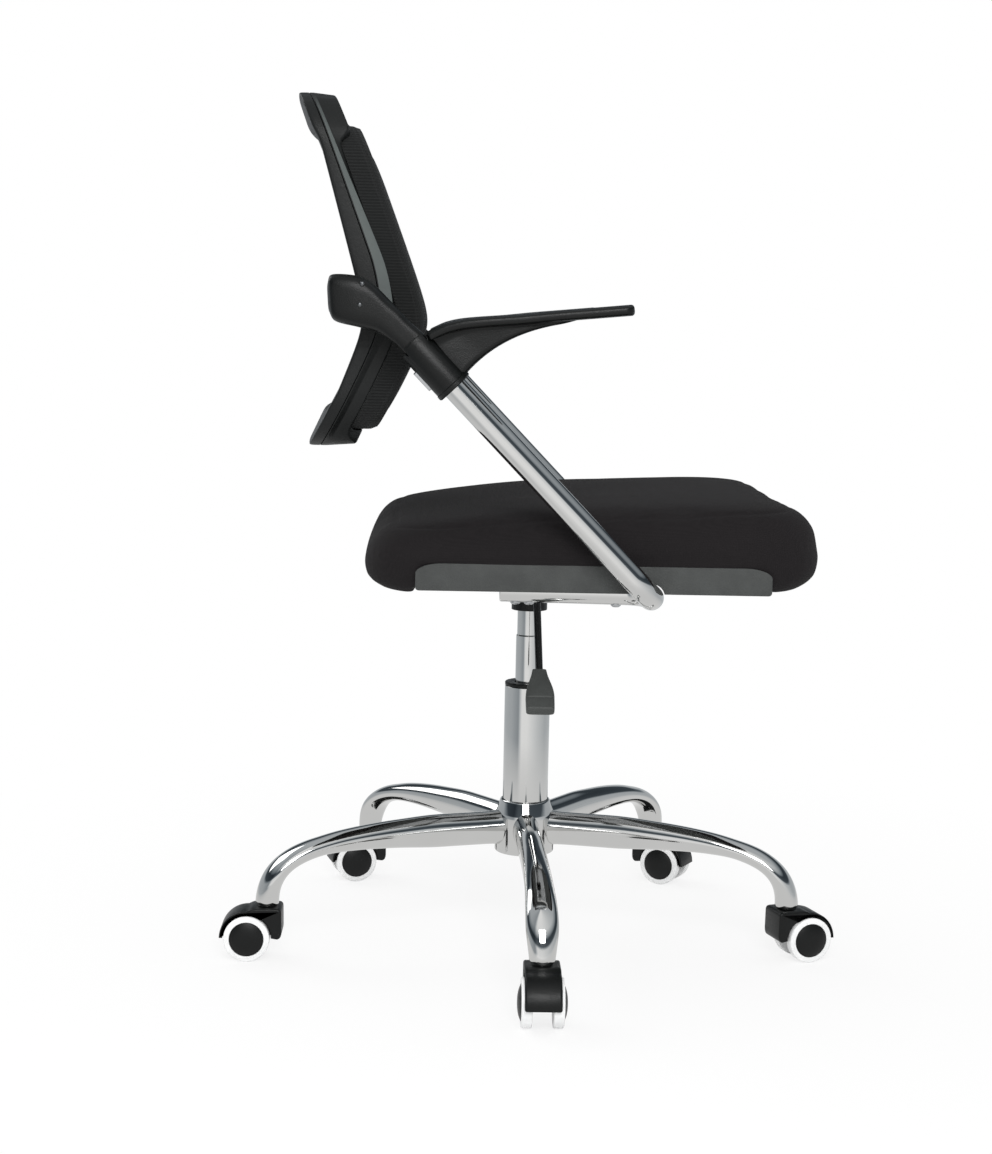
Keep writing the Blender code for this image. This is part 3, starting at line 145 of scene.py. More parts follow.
LIP_RISE, LIP_GAP, LIP_LEAST, LIP_MOST = 0.0155, 0.0012, 0.25, 0.86
STRIP_SHARES = ((-0.108, -0.02, 0.035, 0.215, 0.248), (0.4, 0.5, 1.0, 0.30, 0.25))
STRIP_RISE, STRIP_INSET, STRIP_FADE_START, STRIP_FADE = 0.0012, 0.15, 0.005, 0.035
CARRIER_HALF, CARRIER_LOW, CARRIER_HIGH, CARRIER_CORNER = 0.212, -0.0900, 0.2150, 0.042
CARRIER_WIDTH, CARRIER_DEPTH = 0.024, 0.0270
NET_GAP, NET_ROLL, NET_ROLL_WIDTH, NET_OVERLAP, NET_FADE = 0.0013, 0.0055, 0.007, 0.005, 0.003

# Lever, from its pivot, and seat, from the column's foot
LEVER_DROP, LEVER_OUT, LEVER_IN = math.radians(37.0), 0.012, 0.0315
ROD_RADIUS, ROD_BEND, ROD_SUNK = 0.004, 0.008, 0.030
PADDLE_START, PADDLE_LENGTH, PADDLE_HALF, PADDLE_THICK_HALF = 0.143, 0.056, 0.015, 0.006
PADDLE_WIDTHS = ((0.0, 0.10, 0.55, 0.66, 1.0), (0.50, 0.56, 0.97, 1.0, 0.98))
PADDLE_DEPTHS = ((0.0, 0.6, 1.0), (0.90, 1.0, 0.95))
GRIP_DEPTH, GRIP_PLACE, GRIP_WIDTH = 0.0009, 0.72, 0.010
PAN_REAR, PAN_FRONT, PAN_HALF, PAN_WALL = -0.126, 0.235, 0.238, 0.003
PAN_LOW, PAN_FLOOR, PAN_TOP, PAN_CORNER, PAN_RIM = 0.424, 0.4373, 0.452, 0.028, 0.004
PAN_EDGE, PAN_NOTCH_GAP, PAN_FLOOR_INSET, PAN_FLOOR_EDGE = 0.0009, 0.0012, 0.001, 0.0008
BOARD_HALF_Y, BOARD_TOP = 0.228, 0.4506
CUSHION_HALF_X, CUSHION_HALF_Y, CUSHION_MIDDLE = 0.235, 0.243, 0.0565
CUSHION_LOW, CUSHION_HIGH, CUSHION_CORNER, CUSHION_SLOPE = 0.4208, 0.5085, 0.060, math.radians(2.4)
CUSHION_BULGE, REAR_FALL = 0.004, 0.013
CUSHION_OVER_BOARD, CUSHION_OVER_PAN = BOARD_TOP + 0.0008, PAN_FLOOR + 0.0040
COVER_SHRINK, COVER_VOXEL, SWELL_FRAMES, SWELL_FREE, SWELL_FADE = 0.0030, 0.006, 20, 0.004, 0.020
SEAM_INSET_X, SEAM_INSET_Y, SEAM_CORNER, SEAM_DROP = 0.030, 0.021, 0.066, 0.0086

# Light that metal mirrors: round about, with a bright panel by the camera (0.5) and a dim gap beside it,
# from the level ground (0.5) to the zenith (1), and on the floor near the chair
ROOM_LEVELS = ((0.0, 0.58), (0.26, 0.50), (0.37, 0.36), (0.42, 1.0), (0.50, 1.0), (0.65, 0.72),
               (0.78, 0.54), (1.0, 0.58))
SKY_LEVELS = ((0.50, 0.95), (0.595, 0.90), (0.64, 0.12), (0.735, 0.08), (0.79, 0.50), (0.87, 0.95),
              (1.0, 1.0))
FLOOR_LEVEL, SOFT_LEVEL = 0.78, 0.80
COOLING = (("Red", 1.08), ("Green", 1.0), ("Blue", 0.94))

# Lamps and camera, from the column's foot
LAMP_AIM = (0.0, 0.0, 0.5)
KEY_PLACE, KEY_WIDTH = (0.1, -3.0, 2.1), 1.5
FILL_PLACE, FILL_WIDTH = (-2.2, 1.6, 2.2), 1.8
CAMERA_PLACE = (-0.1023, -2.3400, 0.6966)
CAMERA_YAW, CAMERA_PITCH, CAMERA_ROLL = math.radians(1.57), math.radians(6.98), math.radians(1.19)


class ChairSizes(bpy.types.PropertyGroup):
    """Sizes of the chair's finishing details."""

    strip: FloatProperty(name="Frame strip", description="Greatest width of the strip on the back's sides",
                         default=0.0125, unit="LENGTH")
    swell: FloatProperty(name="Cushion swell", description="Furthest that the cushion's cover is pushed out",
                         default=0.005, unit="LENGTH")
    seam_depth: FloatProperty(name="Seam depth", description="Depth of the seam round the cushion's top",
                              default=0.0016, unit="LENGTH")
    seam_reach: FloatProperty(name="Seam reach", description="Half width of the groove along the seam",
                              default=0.0035, unit="LENGTH")
    net_pitch: FloatProperty(name="Net pitch", description="Distance between holes of the back's net",
                             default=0.0030, unit="LENGTH")
    weave_pitch: FloatProperty(name="Weave pitch", description="Distance between threads of the seat's cloth",
                               default=0.0016, unit="LENGTH")


class ChairColours(bpy.types.PropertyGroup):
    """Colours of the chair's finishes."""

    chrome: FloatVectorProperty(name="Chrome", description="Tint of the plated parts", subtype="COLOR",
                                default=(0.67, 0.67, 0.66), min=0.0, max=1.0)
    steel: FloatVectorProperty(name="Steel", description="Colour of bare steel", subtype="COLOR",
                               default=(0.48, 0.49, 0.50), min=0.0, max=1.0)
    # The screws' dark colour is painted shade, standing in for the recesses they sit in on the lugs
    screw: FloatVectorProperty(name="Screws", description="Colour of the blackened screws in the lugs",
                               subtype="COLOR", default=(0.15, 0.155, 0.16), min=0.0, max=1.0)
    plastic: FloatVectorProperty(name="Black plastic", description="Colour of arms, lugs and casters",
                                 subtype="COLOR", default=(0.0040, 0.0045, 0.0044), min=0.0, max=1.0)
    paddle: FloatVectorProperty(name="Lever paddle", description="Colour of the lever's paddle",
                                subtype="COLOR", default=(0.052, 0.0555, 0.0535), min=0.0, max=1.0)
    cover: FloatVectorProperty(name="Back cover", description="Colour of the back's rear shell",
                               subtype="COLOR", default=(0.0060, 0.0067, 0.0066), min=0.0, max=1.0)
    # The frame trim colour is the pale painted reflection on the strip along the frame's outward chamfer
    trim: FloatVectorProperty(name="Frame trim", description="Colour of the back's front frame",
                              subtype="COLOR", default=(0.104, 0.118, 0.115), min=0.0, max=1.0)
    pan: FloatVectorProperty(name="Seat pan", description="Colour of the tray under the cushion",
                             subtype="COLOR", default=(0.041, 0.0435, 0.0425), min=0.0, max=1.0)
    seat: FloatVectorProperty(name="Seat cloth", description="Colour of the cushion's cover",
                              subtype="COLOR", default=(0.0135, 0.0120, 0.0127), min=0.0, max=1.0)
    net: FloatVectorProperty(name="Net", description="Colour of the back's net", subtype="COLOR",
                             default=(0.0066, 0.0072, 0.0071), min=0.0, max=1.0)
    tyre: FloatVectorProperty(name="Wheels", description="Colour of the caster wheels", subtype="COLOR",
                              default=(0.92, 0.93, 0.93), min=0.0, max=1.0)
    wood: FloatVectorProperty(name="Plywood", description="Colour of the seat board", subtype="COLOR",
                              default=(0.50, 0.36, 0.22), min=0.0, max=1.0)


class StageLook(bpy.types.PropertyGroup):
    """Light and floor of the plain studio."""

    floor: FloatVectorProperty(name="Floor", description="Colour of the floor", subtype="COLOR",
                               default=(0.90, 0.90, 0.90), min=0.0, max=1.0)
    key: FloatProperty(name="Key lamp", description="Power of the large lamp above the camera",
                       default=58.0, unit="POWER")
    fill: FloatProperty(name="Fill lamp", description="Power of the lamp on the far side",
                        default=24.0, unit="POWER")
    lens: FloatProperty(name="Lens", description="Focal length of the camera", default=65.68, unit="CAMERA")


# Curves and grids


def unit(vectors):
    """Vectors divided by their own length."""
    return vectors / np.maximum(np.linalg.norm(vectors, axis=-1, keepdims=True), 1e-12)


def ease(value):
    """Smooth step: 3t^2 - 2t^3 on the value held between 0 and 1."""
    value = np.clip(value, 0.0, 1.0)
    return value * value * (3.0 - 2.0 * value)


def bezier(controls, share):
    """Cubic curve: its four control points weighted by the Bernstein terms of each share."""
    share = np.asarray(share)[..., None]
    rest = 1.0 - share
    a, b, c, d = (np.asarray(point, dtype=float) for point in controls)
    return a * rest ** 3 + 3.0 * b * share * rest ** 2 + 3.0 * c * share ** 2 * rest + d * share ** 3


def hermite(at, knots, values, slopes):
    """Cubic pieces that take the given values and slopes at the knots."""
    place = np.clip(np.searchsorted(knots, at, side="right") - 1, 0, len(knots) - 2)
    step = (knots[1:] - knots[:-1])[place]
    t = (at - knots[place]) / step
    if values.ndim > 1:
        t, step = t[:, None], step[:, None]
    ahead = t * t * (3.0 - 2.0 * t)
    return (values[place] * (1.0 - ahead) + values[place + 1] * ahead
            + step * t * (1.0 - t) * (slopes[place] * (1.0 - t) - slopes[place + 1] * t))


def steady(at, knots, values):
    """Smooth interpolation without overshoot: each slope is the harmonic mean of the chords beside it."""
    knots, values = np.asarray(knots, dtype=float), np.asarray(values, dtype=float)
    chord = np.diff(values) / np.diff(knots)
    product = chord[:-1] * chord[1:]
    total = np.where(product > 0.0, chord[:-1] + chord[1:], 1.0)
    inner = np.where(product > 0.0, 2.0 * product / total, 0.0)
    slopes = np.concatenate([chord[:1], inner, chord[-1:]])
    return hermite(np.clip(at, knots[0], knots[-1]), knots, values, slopes)


def flowing(at, points):
    """Curve through points at whole numbers; each slope is half the step between a point's neighbours."""
    points = np.asarray(points, dtype=float)
    return hermite(at, np.arange(len(points), dtype=float), points, np.gradient(points, axis=0))


def rounded(corners, reach, steps=4, closed=False):
    """Polyline whose corners are parabolas that leave and meet the edges at the given reach.

    The corners run along the last axis but one, so whole stacks of outlines are rounded at once.
    """
    corners = np.asarray(corners, dtype=float)
    reach = np.broadcast_to(reach, corners.shape[-2]).astype(float)
    if not closed:
        reach[[0, -1]] = 0.0
    behind, ahead = np.roll(corners, 1, axis=-2) - corners, np.roll(corners, -1, axis=-2) - corners
    pull = []
    for edge in (behind, ahead):
        length = np.maximum(np.linalg.norm(edge, axis=-1), 1e-9)
        pull.append(corners + edge * (np.minimum(reach, 0.48 * length) / length)[..., None])
    t = np.linspace(0.0, 1.0, steps + 1)[:, None]
    arcs = ((1.0 - t) ** 2 * pull[0][..., None, :] + 2.0 * t * (1.0 - t) * corners[..., None, :]
            + t ** 2 * pull[1][..., None, :])
    line = arcs.reshape(*corners.shape[:-2], -1, corners.shape[-1])
    return line if closed else line[..., steps:line.shape[-2] - steps, :]


def bent(points, radius, steps=24):
    """Path through corner points, each inner corner an arc whose centre lies on the corner's bisector."""
    points = np.asarray(points, dtype=float)
    corner = points[1:-1]
    back, ahead = unit(points[:-2] - corner), unit(points[2:] - corner)
    half = np.arccos(np.clip((back * ahead).sum(axis=1), -1.0, 1.0)) / 2.0
    centre = corner + unit(back + ahead) * (radius / np.sin(half))[:, None]
    first = unit(corner + back * (radius / np.tan(half))[:, None] - centre)
    angle = np.linspace(0.0, 1.0, steps + 1) * (math.pi - 2.0 * half)[:, None]
    arcs = centre[:, None] + radius * (np.cos(angle)[..., None] * first[:, None]
                                       - np.sin(angle)[..., None] * back[:, None])
    return np.concatenate([points[:1], arcs.reshape(-1, 3), points[-1:]])


def travelled(path):
    """Distance of each point of a path from its start: the sum of the steps before it."""
    return np.concatenate([[0.0], np.cumsum(np.linalg.norm(np.diff(path, axis=0), axis=1))])


def spaced(path, places):
    """Points of a path at the given distances from its start."""
    run = travelled(path)
    return np.stack([np.interp(places, run, axis) for axis in path.T], axis=1)


def even_loop(loop, count):
    """Closed loop resampled at equal steps along its length."""
    closed = np.concatenate([loop, loop[:1]])
    return spaced(closed, np.linspace(0.0, travelled(closed)[-1], count, endpoint=False))


def drawn_in(run, radius):
    """How far a rounded end is drawn in at a distance from its tip: a quarter circle of the radius."""
    return radius - np.sqrt(radius ** 2 - np.clip(radius - run, 0.0, radius) ** 2)


def arc(radius, start, end, steps, centre=(0.0, 0.0)):
    """Arc in a plane between two angles in degrees."""
    angle = np.radians(np.linspace(start, end, steps + 1))
    return np.asarray(centre) + radius * np.stack([np.cos(angle), np.sin(angle)], axis=1)


def oval(half_wide, half_tall, power, count=48):
    """Superellipse |x/a|^p + |y/b|^p = 1, one loop for each pair of halves."""
    angle = np.linspace(0.0, 2.0 * math.pi, count, endpoint=False)
    wide, tall = (np.sign(f(angle)) * np.abs(f(angle)) ** (2.0 / power) for f in (np.cos, np.sin))
    half_wide, half_tall = np.asarray(half_wide)[..., None], np.asarray(half_tall)[..., None]
    return np.stack([half_wide * wide, half_tall * tall], axis=-1)


def soft_box(half_x, half_y, corner, steps=6):
    """Rectangle loops with parabola corners, one for each pair of halves."""
    half_x, half_y = np.asarray(half_x, dtype=float), np.asarray(half_y, dtype=float)
    signs = np.array([[1.0, -1.0], [1.0, 1.0], [-1.0, 1.0], [-1.0, -1.0]])
    corners = np.stack([half_x[..., None] * signs[:, 0], half_y[..., None] * signs[:, 1]], axis=-1)
    return rounded(corners, corner, steps, closed=True)


def patch(points, ring=True, loop=False, caps=False, detail=None):
    """Grid of points with its closed directions.

    Ring joins the last column to the first, loop the last row, and caps fill the first and last rows.
    """
    return {"points": np.asarray(points), "ring": ring, "loop": loop, "caps": caps, "detail": detail}


def capped(points):
    """Grid whose first and last rows are drawn to their middle points, so that both ends are closed."""
    ends = [np.broadcast_to(row.mean(axis=0), row.shape)[None] for row in (points[0], points[-1])]
    return np.concatenate([ends[0], points, ends[1]])


def turned(profile, centre=COLUMN, axis=Z_AXIS, sides=96, loop=False):
    """Surface of revolution: (radius, distance) points carried round a unit axis through the centre."""
    profile = np.asarray(profile, dtype=float)
    first = unit(np.cross(axis, X_AXIS if abs(axis[0]) < 0.9 else Y_AXIS))
    second = np.cross(axis, first)
    angle = np.linspace(0.0, 2.0 * math.pi, sides, endpoint=False)
    spokes = np.cos(angle)[:, None] * first + np.sin(angle)[:, None] * second
    points = centre + profile[:, 1, None, None] * axis + profile[:, 0, None, None] * spokes
    return patch(points, loop=loop)


def in_space(points, u, v):
    """Points of a plane carried into space: x * u + y * v."""
    return points[..., :1] * u + points[..., 1:] * v


def lofted(path, side, upward, loops):
    """Loops set square on a path: place + x * side + y * upward, at every station."""
    return path[:, None] + in_space(loops, side[:, None], upward[:, None])


def plate(outline, low, high, edge, origin, u, v, w, steps=4):
    """Plate with rounded rims.

    At both faces its outline is drawn in by edge(1 - sin a) while it rises by edge(1 - cos a).
    """
    run = np.roll(outline, -1, axis=0) - np.roll(outline, 1, axis=0)
    outward = unit(np.stack([run[:, 1], -run[:, 0]], axis=1))
    angle = np.linspace(0.0, math.pi / 2.0, steps + 1)
    inset, rise = edge * (1.0 - np.sin(angle)), edge * (1.0 - np.cos(angle))
    flat = outline[None] - outward[None] * np.concatenate([inset, inset[::-1]])[:, None, None]
    height = np.concatenate([low + rise, (high - rise)[::-1]])
    return patch(origin + in_space(flat, u, v) + height[:, None, None] * w, caps=True)


def grid_faces(rows, columns, ring, loop, start):
    """Corner numbers of a grid's cells."""
    i, j = np.meshgrid(np.arange(rows if loop else rows - 1), np.arange(columns if ring else columns - 1),
                       indexing="ij")
    here, below = i * columns, (i + 1) % rows * columns
    after = (j + 1) % columns
    return start + np.stack([here + j, below + j, below + after, here + after], axis=-1).reshape(-1, 4)


def assemble(name, patches, crease=38.0):
    """Mesh object from grids: doubles merged, faces turned outwards, smooth up to the crease angle."""
    start, points, faces, detail = 0, [], [], []
    for item in patches:
        rows, columns, _ = item["points"].shape
        points.append(item["points"].reshape(-1, 3))
        plain = item["detail"] is None
        detail.append(np.zeros((rows * columns, 3)) if plain else item["detail"].reshape(-1, 3))
        faces += grid_faces(rows, columns, item["ring"], item["loop"], start).tolist()
        if item["caps"]:
            index = start + np.arange(rows * columns).reshape(rows, columns)
            faces += [index[0].tolist(), index[-1].tolist()]
        start += rows * columns
    mesh = bpy.data.meshes.new(name)
    mesh.from_pydata(np.concatenate(points).tolist(), [], faces)
    if any(item["detail"] is not None for item in patches):
        layer = mesh.attributes.new("detail", "FLOAT_VECTOR", "POINT")
        layer.data.foreach_set("vector", np.concatenate(detail).astype(np.float32).ravel())
    work = bmesh.new()
    work.from_mesh(mesh)
    bmesh.ops.remove_doubles(work, verts=work.verts, dist=2e-6)
    bmesh.ops.dissolve_degenerate(work, edges=work.edges, dist=1e-7)
    bmesh.ops.recalc_face_normals(work, faces=work.faces)
    work.to_mesh(mesh)
    work.free()
    mesh.shade_smooth()
    mesh.set_sharp_from_angle(angle=math.radians(crease))
    made = bpy.data.objects.new(name, mesh)
    bpy.context.scene.collection.objects.link(made)
    return made


def fit(made, finish, nodes=(), body=None):
    """Gives a piece its material, and sets it on its body in place of the nodes it stands for."""
    made.data.materials.clear()
    made.data.materials.append(finish)
    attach(made, body or BODY_OF[nodes[0]])
    if nodes:
        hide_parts(*nodes)
    return made


# Materials


def add(tree, kind, inputs=None, **settings):
    """Node with its settings, whose inputs are values or links from other sockets."""
    made = tree.nodes.new(kind)
    for key, value in settings.items():
        setattr(made, key, value)
    for key, value in (inputs or {}).items():
        if isinstance(value, bpy.types.NodeSocket):
            tree.links.new(value, made.inputs[key])
        else:
            made.inputs[key].default_value = value
    return made


def made_once(store):
    """Decorator: the builder of a named datablock first looks for one that is there already."""

    def wrap(build):
        @functools.wraps(build)
        def found_or_built(name, *values, **options):
            return getattr(bpy.data, store).get(name) or build(name, *values, **options)

        return found_or_built

    return wrap


def blank_group(name, inputs, outputs):
    """New shader node group with float outputs: the tree, its inputs and its output node."""
    tree = bpy.data.node_groups.new(name, "ShaderNodeTree")
    for label, kind, default in inputs:
        socket = tree.interface.new_socket(label, in_out="INPUT", socket_type=kind)
        if default is not None:
            socket.default_value = default
    for label in outputs:
        tree.interface.new_socket(label, in_out="OUTPUT", socket_type="NodeSocketFloat")
    return tree, tree.nodes.new("NodeGroupInput").outputs, tree.nodes.new("NodeGroupOutput")


def maths(tree, operation, first, second=0.0, clamp=False):
    """Result of one arithmetic node."""
    return add(tree, "ShaderNodeMath", {0: first, 1: second}, operation=operation, use_clamp=clamp).outputs[0]


def weighted(tree, *terms):
    """Sum of values, each times its weight."""
    total = 0.0
    for value, weight in terms:
        inputs = {0: value, 1: weight, 2: total}
        total = add(tree, "ShaderNodeMath", inputs, operation="MULTIPLY_ADD").outputs[0]
    return total


def spread(tree, value, low, high, new_low=0.0, new_high=1.0):
    """Value mapped from one range to another and held inside it."""
    inputs = {"Value": value, "From Min": low, "From Max": high, "To Min": new_low, "To Max": new_high}
    return add(tree, "ShaderNodeMapRange", inputs).outputs[0]


def noise(tree, vector, scale, detail=3.0, roughness=0.5):
    """Fractal noise of about 0 to 1."""
    inputs = {"Vector": vector, "Scale": scale, "Detail": detail, "Roughness": roughness}
    return add(tree, "ShaderNodeTexNoise", inputs).outputs[0]


def stretched_noise(tree, vector, scales, detail, roughness=0.5):
    """Fractal noise with a scale of its own along each axis, which draws it out into lines."""
    scaled = add(tree, "ShaderNodeMapping", {"Vector": vector, "Scale": scales}).outputs[0]
    return noise(tree, scaled, 1.0, detail, roughness)


@made_once("node_groups")
def grain_group(name):
    """Moulded grain: fine pits for the bump, with a broad mottle and scuffs for colour and gloss."""
    kinds = (("Place", "NodeSocketVector", None), ("Pits", "NodeSocketFloat", 900.0))
    tree, given, out = blank_group(name, kinds, ("Height", "Mottle", "Scuff"))
    fine = noise(tree, given["Place"], given["Pits"], detail=2.0, roughness=0.6)
    pits = {"Vector": given["Place"], "Scale": given["Pits"]}
    cells = add(tree, "ShaderNodeTexVoronoi", pits).outputs["Distance"]
    tree.links.new(weighted(tree, (fine, 0.6), (cells, 1.0)), out.inputs["Height"])
    mottle = noise(tree, given["Place"], scale=38.0, detail=4.0, roughness=0.6)
    tree.links.new(mottle, out.inputs["Mottle"])
    scuffs = stretched_noise(tree, given["Place"], scales=(40.0, 40.0, 320.0), detail=3.0)
    tree.links.new(spread(tree, scuffs, 0.52, 0.72), out.inputs["Scuff"])
    return tree


@made_once("node_groups")
def polish_group(name):
    """Polish marks: a soft haze, long faint wiping lines and small specks, for metals."""
    kinds = (("Place", "NodeSocketVector", None), ("Haze", "NodeSocketFloat", 9.0))
    tree, given, out = blank_group(name, kinds, ("Haze", "Lines", "Specks"))
    haze = noise(tree, given["Place"], given["Haze"], detail=4.0, roughness=0.55)
    tree.links.new(spread(tree, haze, 0.35, 0.75), out.inputs["Haze"])
    wiped = stretched_noise(tree, given["Place"], scales=(14.0, 14.0, 420.0), detail=2.0)
    tree.links.new(spread(tree, wiped, 0.40, 0.80), out.inputs["Lines"])
    specks = noise(tree, given["Place"], scale=260.0, detail=1.0, roughness=0.4)
    tree.links.new(spread(tree, specks, 0.66, 0.74), out.inputs["Specks"])
    return tree


@made_once("node_groups")
def net_group(name):
    """Net of staggered holes: the product of two waves along the cloth, open where its third value is 1."""
    kinds = (("Cloth", "NodeSocketVector", None), ("Pitch", "NodeSocketFloat", 0.003))
    tree, given, out = blank_group(name, kinds, ("Hole", "Thread"))
    across = add(tree, "ShaderNodeSeparateXYZ", {0: given["Cloth"]}).outputs
    turn = maths(tree, "DIVIDE", math.pi, given["Pitch"])
    wave_u = maths(tree, "COSINE", maths(tree, "MULTIPLY", across["X"], turn))
    wave_v = maths(tree, "COSINE", maths(tree, "MULTIPLY", across["Y"], turn))
    product = maths(tree, "MULTIPLY", wave_u, wave_v)
    hole = spread(tree, product, 0.10, 0.34)
    tree.links.new(maths(tree, "MULTIPLY", hole, across["Z"]), out.inputs["Hole"])
    tree.links.new(maths(tree, "SUBTRACT", 1.0, maths(tree, "ABSOLUTE", product)), out.inputs["Thread"])
    return tree


def use_group(tree, group, inputs):
    """Outputs of a node group placed in a material."""
    return add(tree, "ShaderNodeGroup", inputs, node_tree=group).outputs


def shader_of(name, **values):
    """New material, with plain values set on its Principled shader; returns all three."""
    made = bpy.data.materials.new(name)
    made.use_nodes = True
    tree = made.node_tree
    shader = tree.nodes["Principled BSDF"]
    for key, value in values.items():
        shader.inputs[key.replace("_", " ")].default_value = value
    return made, tree, shader


def object_place(tree):
    """Places in the object's own space."""
    return add(tree, "ShaderNodeTexCoord").outputs["Object"]


def own_detail(tree):
    """Vector that the mesh carries at its vertices."""
    return add(tree, "ShaderNodeAttribute", attribute_name="detail").outputs["Vector"]


def blend(tree, factor, first, second):
    """Colour between two others, chosen by the factor."""
    inputs = {"Factor": factor, 6: first, 7: second}
    return add(tree, "ShaderNodeMix", inputs, data_type="RGBA").outputs[2]


def tinted(tree, factor, colour, low, high):
    """Colour between two multiples of itself, chosen by the factor."""
    first, second = ((*(min(1.0, channel * share) for channel in colour), 1.0) for share in (low, high))
    return blend(tree, factor, first, second)


def bump(tree, height, strength, distance):
    """Normal raised by a height."""
    inputs = {"Strength": strength, "Distance": distance, "Height": height}
    return add(tree, "ShaderNodeBump", inputs).outputs[0]


@made_once("materials")
def metal(name, colour, smooth, rough, hazed):
    """Metal finish: gloss falls with haze, wiping lines and specks, and the tint shifts with the haze."""
    made, tree, shader = shader_of(name, Metallic=1.0)
    marks = use_group(tree, polish_group("polish_marks"), {"Place": object_place(tree)})
    worn = maths(tree, "MAXIMUM", marks["Specks"], maths(tree, "MULTIPLY", marks["Lines"], 0.5))
    worn = weighted(tree, (worn, 0.5), (marks["Haze"], 0.5))
    tree.links.new(spread(tree, worn, 0.0, 1.0, smooth, rough), shader.inputs["Roughness"])
    tree.links.new(tinted(tree, marks["Haze"], colour, low=1.0, high=hazed), shader.inputs["Base Color"])
    return made


@made_once("materials")
def plastic(name, colour, rough, pits=900.0, depth=0.25, lighter=1.35, coat=0.0):
    """Moulded finish: pitted bump, mottled tint and scuffs that dull the gloss."""
    made, tree, shader = shader_of(name, Coat_Weight=coat, Coat_Roughness=0.25, Specular_IOR_Level=0.25)
    grain = use_group(tree, grain_group("moulded_grain"), {"Place": object_place(tree), "Pits": pits})
    tint = tinted(tree, grain["Mottle"], colour, low=0.75, high=lighter)
    tree.links.new(tint, shader.inputs["Base Color"])
    dulled = weighted(tree, (grain["Mottle"], 0.12), (grain["Scuff"], 0.10), (rough - 0.06, 1.0))
    tree.links.new(dulled, shader.inputs["Roughness"])
    tree.links.new(bump(tree, grain["Height"], depth, distance=0.0004), shader.inputs["Normal"])
    return made


def chrome():
    """Bright plating."""
    return metal("polished_chrome", colours().chrome, smooth=0.035, rough=0.14, hazed=0.94)


def steel():
    """Steel without plating."""
    return metal("bare_steel", colours().steel, smooth=0.22, rough=0.42, hazed=0.80)


def black_plastic():
    """Plastic of the arms, lugs, hoods and column fittings."""
    return plastic("moulded_black", colours().plastic, rough=0.34)


@made_once("materials")
def trim_plastic(name):
    """Black front frame with a pale strip of painted reflection, marked on the mesh, fading out below the lumbar
    bend.
    """
    made, tree, shader = shader_of(name, Specular_IOR_Level=0.25)
    grain = use_group(tree, grain_group("moulded_grain"), {"Place": object_place(tree), "Pits": 1100.0})
    strip = add(tree, "ShaderNodeSeparateXYZ", {0: own_detail(tree)}).outputs["X"]
    # Painted reflection: the marked strip takes the pale trim colour in place of light caught on the chamfer
    pale = tinted(tree, grain["Mottle"], colours().trim, low=0.85, high=1.15)
    dark = tinted(tree, grain["Mottle"], colours().cover, low=0.9, high=1.6)
    tree.links.new(blend(tree, strip, dark, pale), shader.inputs["Base Color"])
    dulled = spread(tree, grain["Scuff"], 0.0, 1.0, new_low=0.42, new_high=0.58)
    tree.links.new(dulled, shader.inputs["Roughness"])
    tree.links.new(bump(tree, grain["Height"], strength=0.2, distance=0.0004), shader.inputs["Normal"])
    return made


@made_once("materials")
def seat_cloth(name):
    """Plain woven cloth: crossing threads as products of waves in pairs, with slubs and a soft nap."""
    made, tree, shader = shader_of(name, Sheen_Weight=0.02, Sheen_Roughness=0.5, Specular_IOR_Level=0.10)
    place = object_place(tree)
    turns = {0: place, "Scale": 2.0 * math.pi / sizes().weave_pitch}
    scaled = add(tree, "ShaderNodeVectorMath", turns, operation="SCALE").outputs[0]
    wander = {"Vector": place, "Scale": 60.0, "Detail": 2.0}
    wobble = add(tree, "ShaderNodeTexNoise", wander).outputs["Color"]
    scaled = add(tree, "ShaderNodeVectorMath", {0: scaled, 1: wobble}, operation="ADD").outputs[0]
    axes = [maths(tree, "SINE", axis) for axis in add(tree, "ShaderNodeSeparateXYZ", {0: scaled}).outputs]
    crossed = weighted(tree, (axes[0], axes[1]), (axes[1], axes[2]), (axes[2], axes[0]))
    threads = spread(tree, crossed, -1.0, 1.5)
    slubs = noise(tree, place, scale=150.0, detail=3.0, roughness=0.6)
    nap = noise(tree, place, scale=11.0, detail=3.0, roughness=0.55)
    shade = weighted(tree, (threads, 0.35), (slubs, 0.35), (nap, 0.30))
    tree.links.new(tinted(tree, shade, colours().seat, low=0.55, high=1.45), shader.inputs["Base Color"])
    rough = spread(tree, slubs, 0.2, 0.8, new_low=0.82, new_high=0.96)
    tree.links.new(rough, shader.inputs["Roughness"])
    height = weighted(tree, (threads, 0.7), (slubs, 0.5))
    tree.links.new(bump(tree, height, strength=0.35, distance=0.0006), shader.inputs["Normal"])
    return made


@made_once("materials")
def net_cloth(name, see_through):
    """Knitted net: dark threads with holes cut by alpha, or closed where the net lies on a bar."""
    made, tree, shader = shader_of(name, Sheen_Weight=0.05, Specular_IOR_Level=0.24)
    net = use_group(tree, net_group("net_threads"), {"Cloth": own_detail(tree), "Pitch": sizes().net_pitch})
    fibres = noise(tree, object_place(tree), scale=700.0, detail=2.0)
    worn = maths(tree, "MULTIPLY", net["Thread"], maths(tree, "ADD", fibres, 0.35))
    tree.links.new(tinted(tree, worn, colours().net, low=0.45, high=2.2), shader.inputs["Base Color"])
    rough = spread(tree, fibres, 0.2, 0.8, new_low=0.62, new_high=0.85)
    tree.links.new(rough, shader.inputs["Roughness"])
    tree.links.new(bump(tree, net["Thread"], strength=0.6, distance=0.0006), shader.inputs["Normal"])
    if see_through:
        tree.links.new(maths(tree, "SUBTRACT", 1.0, net["Hole"]), shader.inputs["Alpha"])
    return made


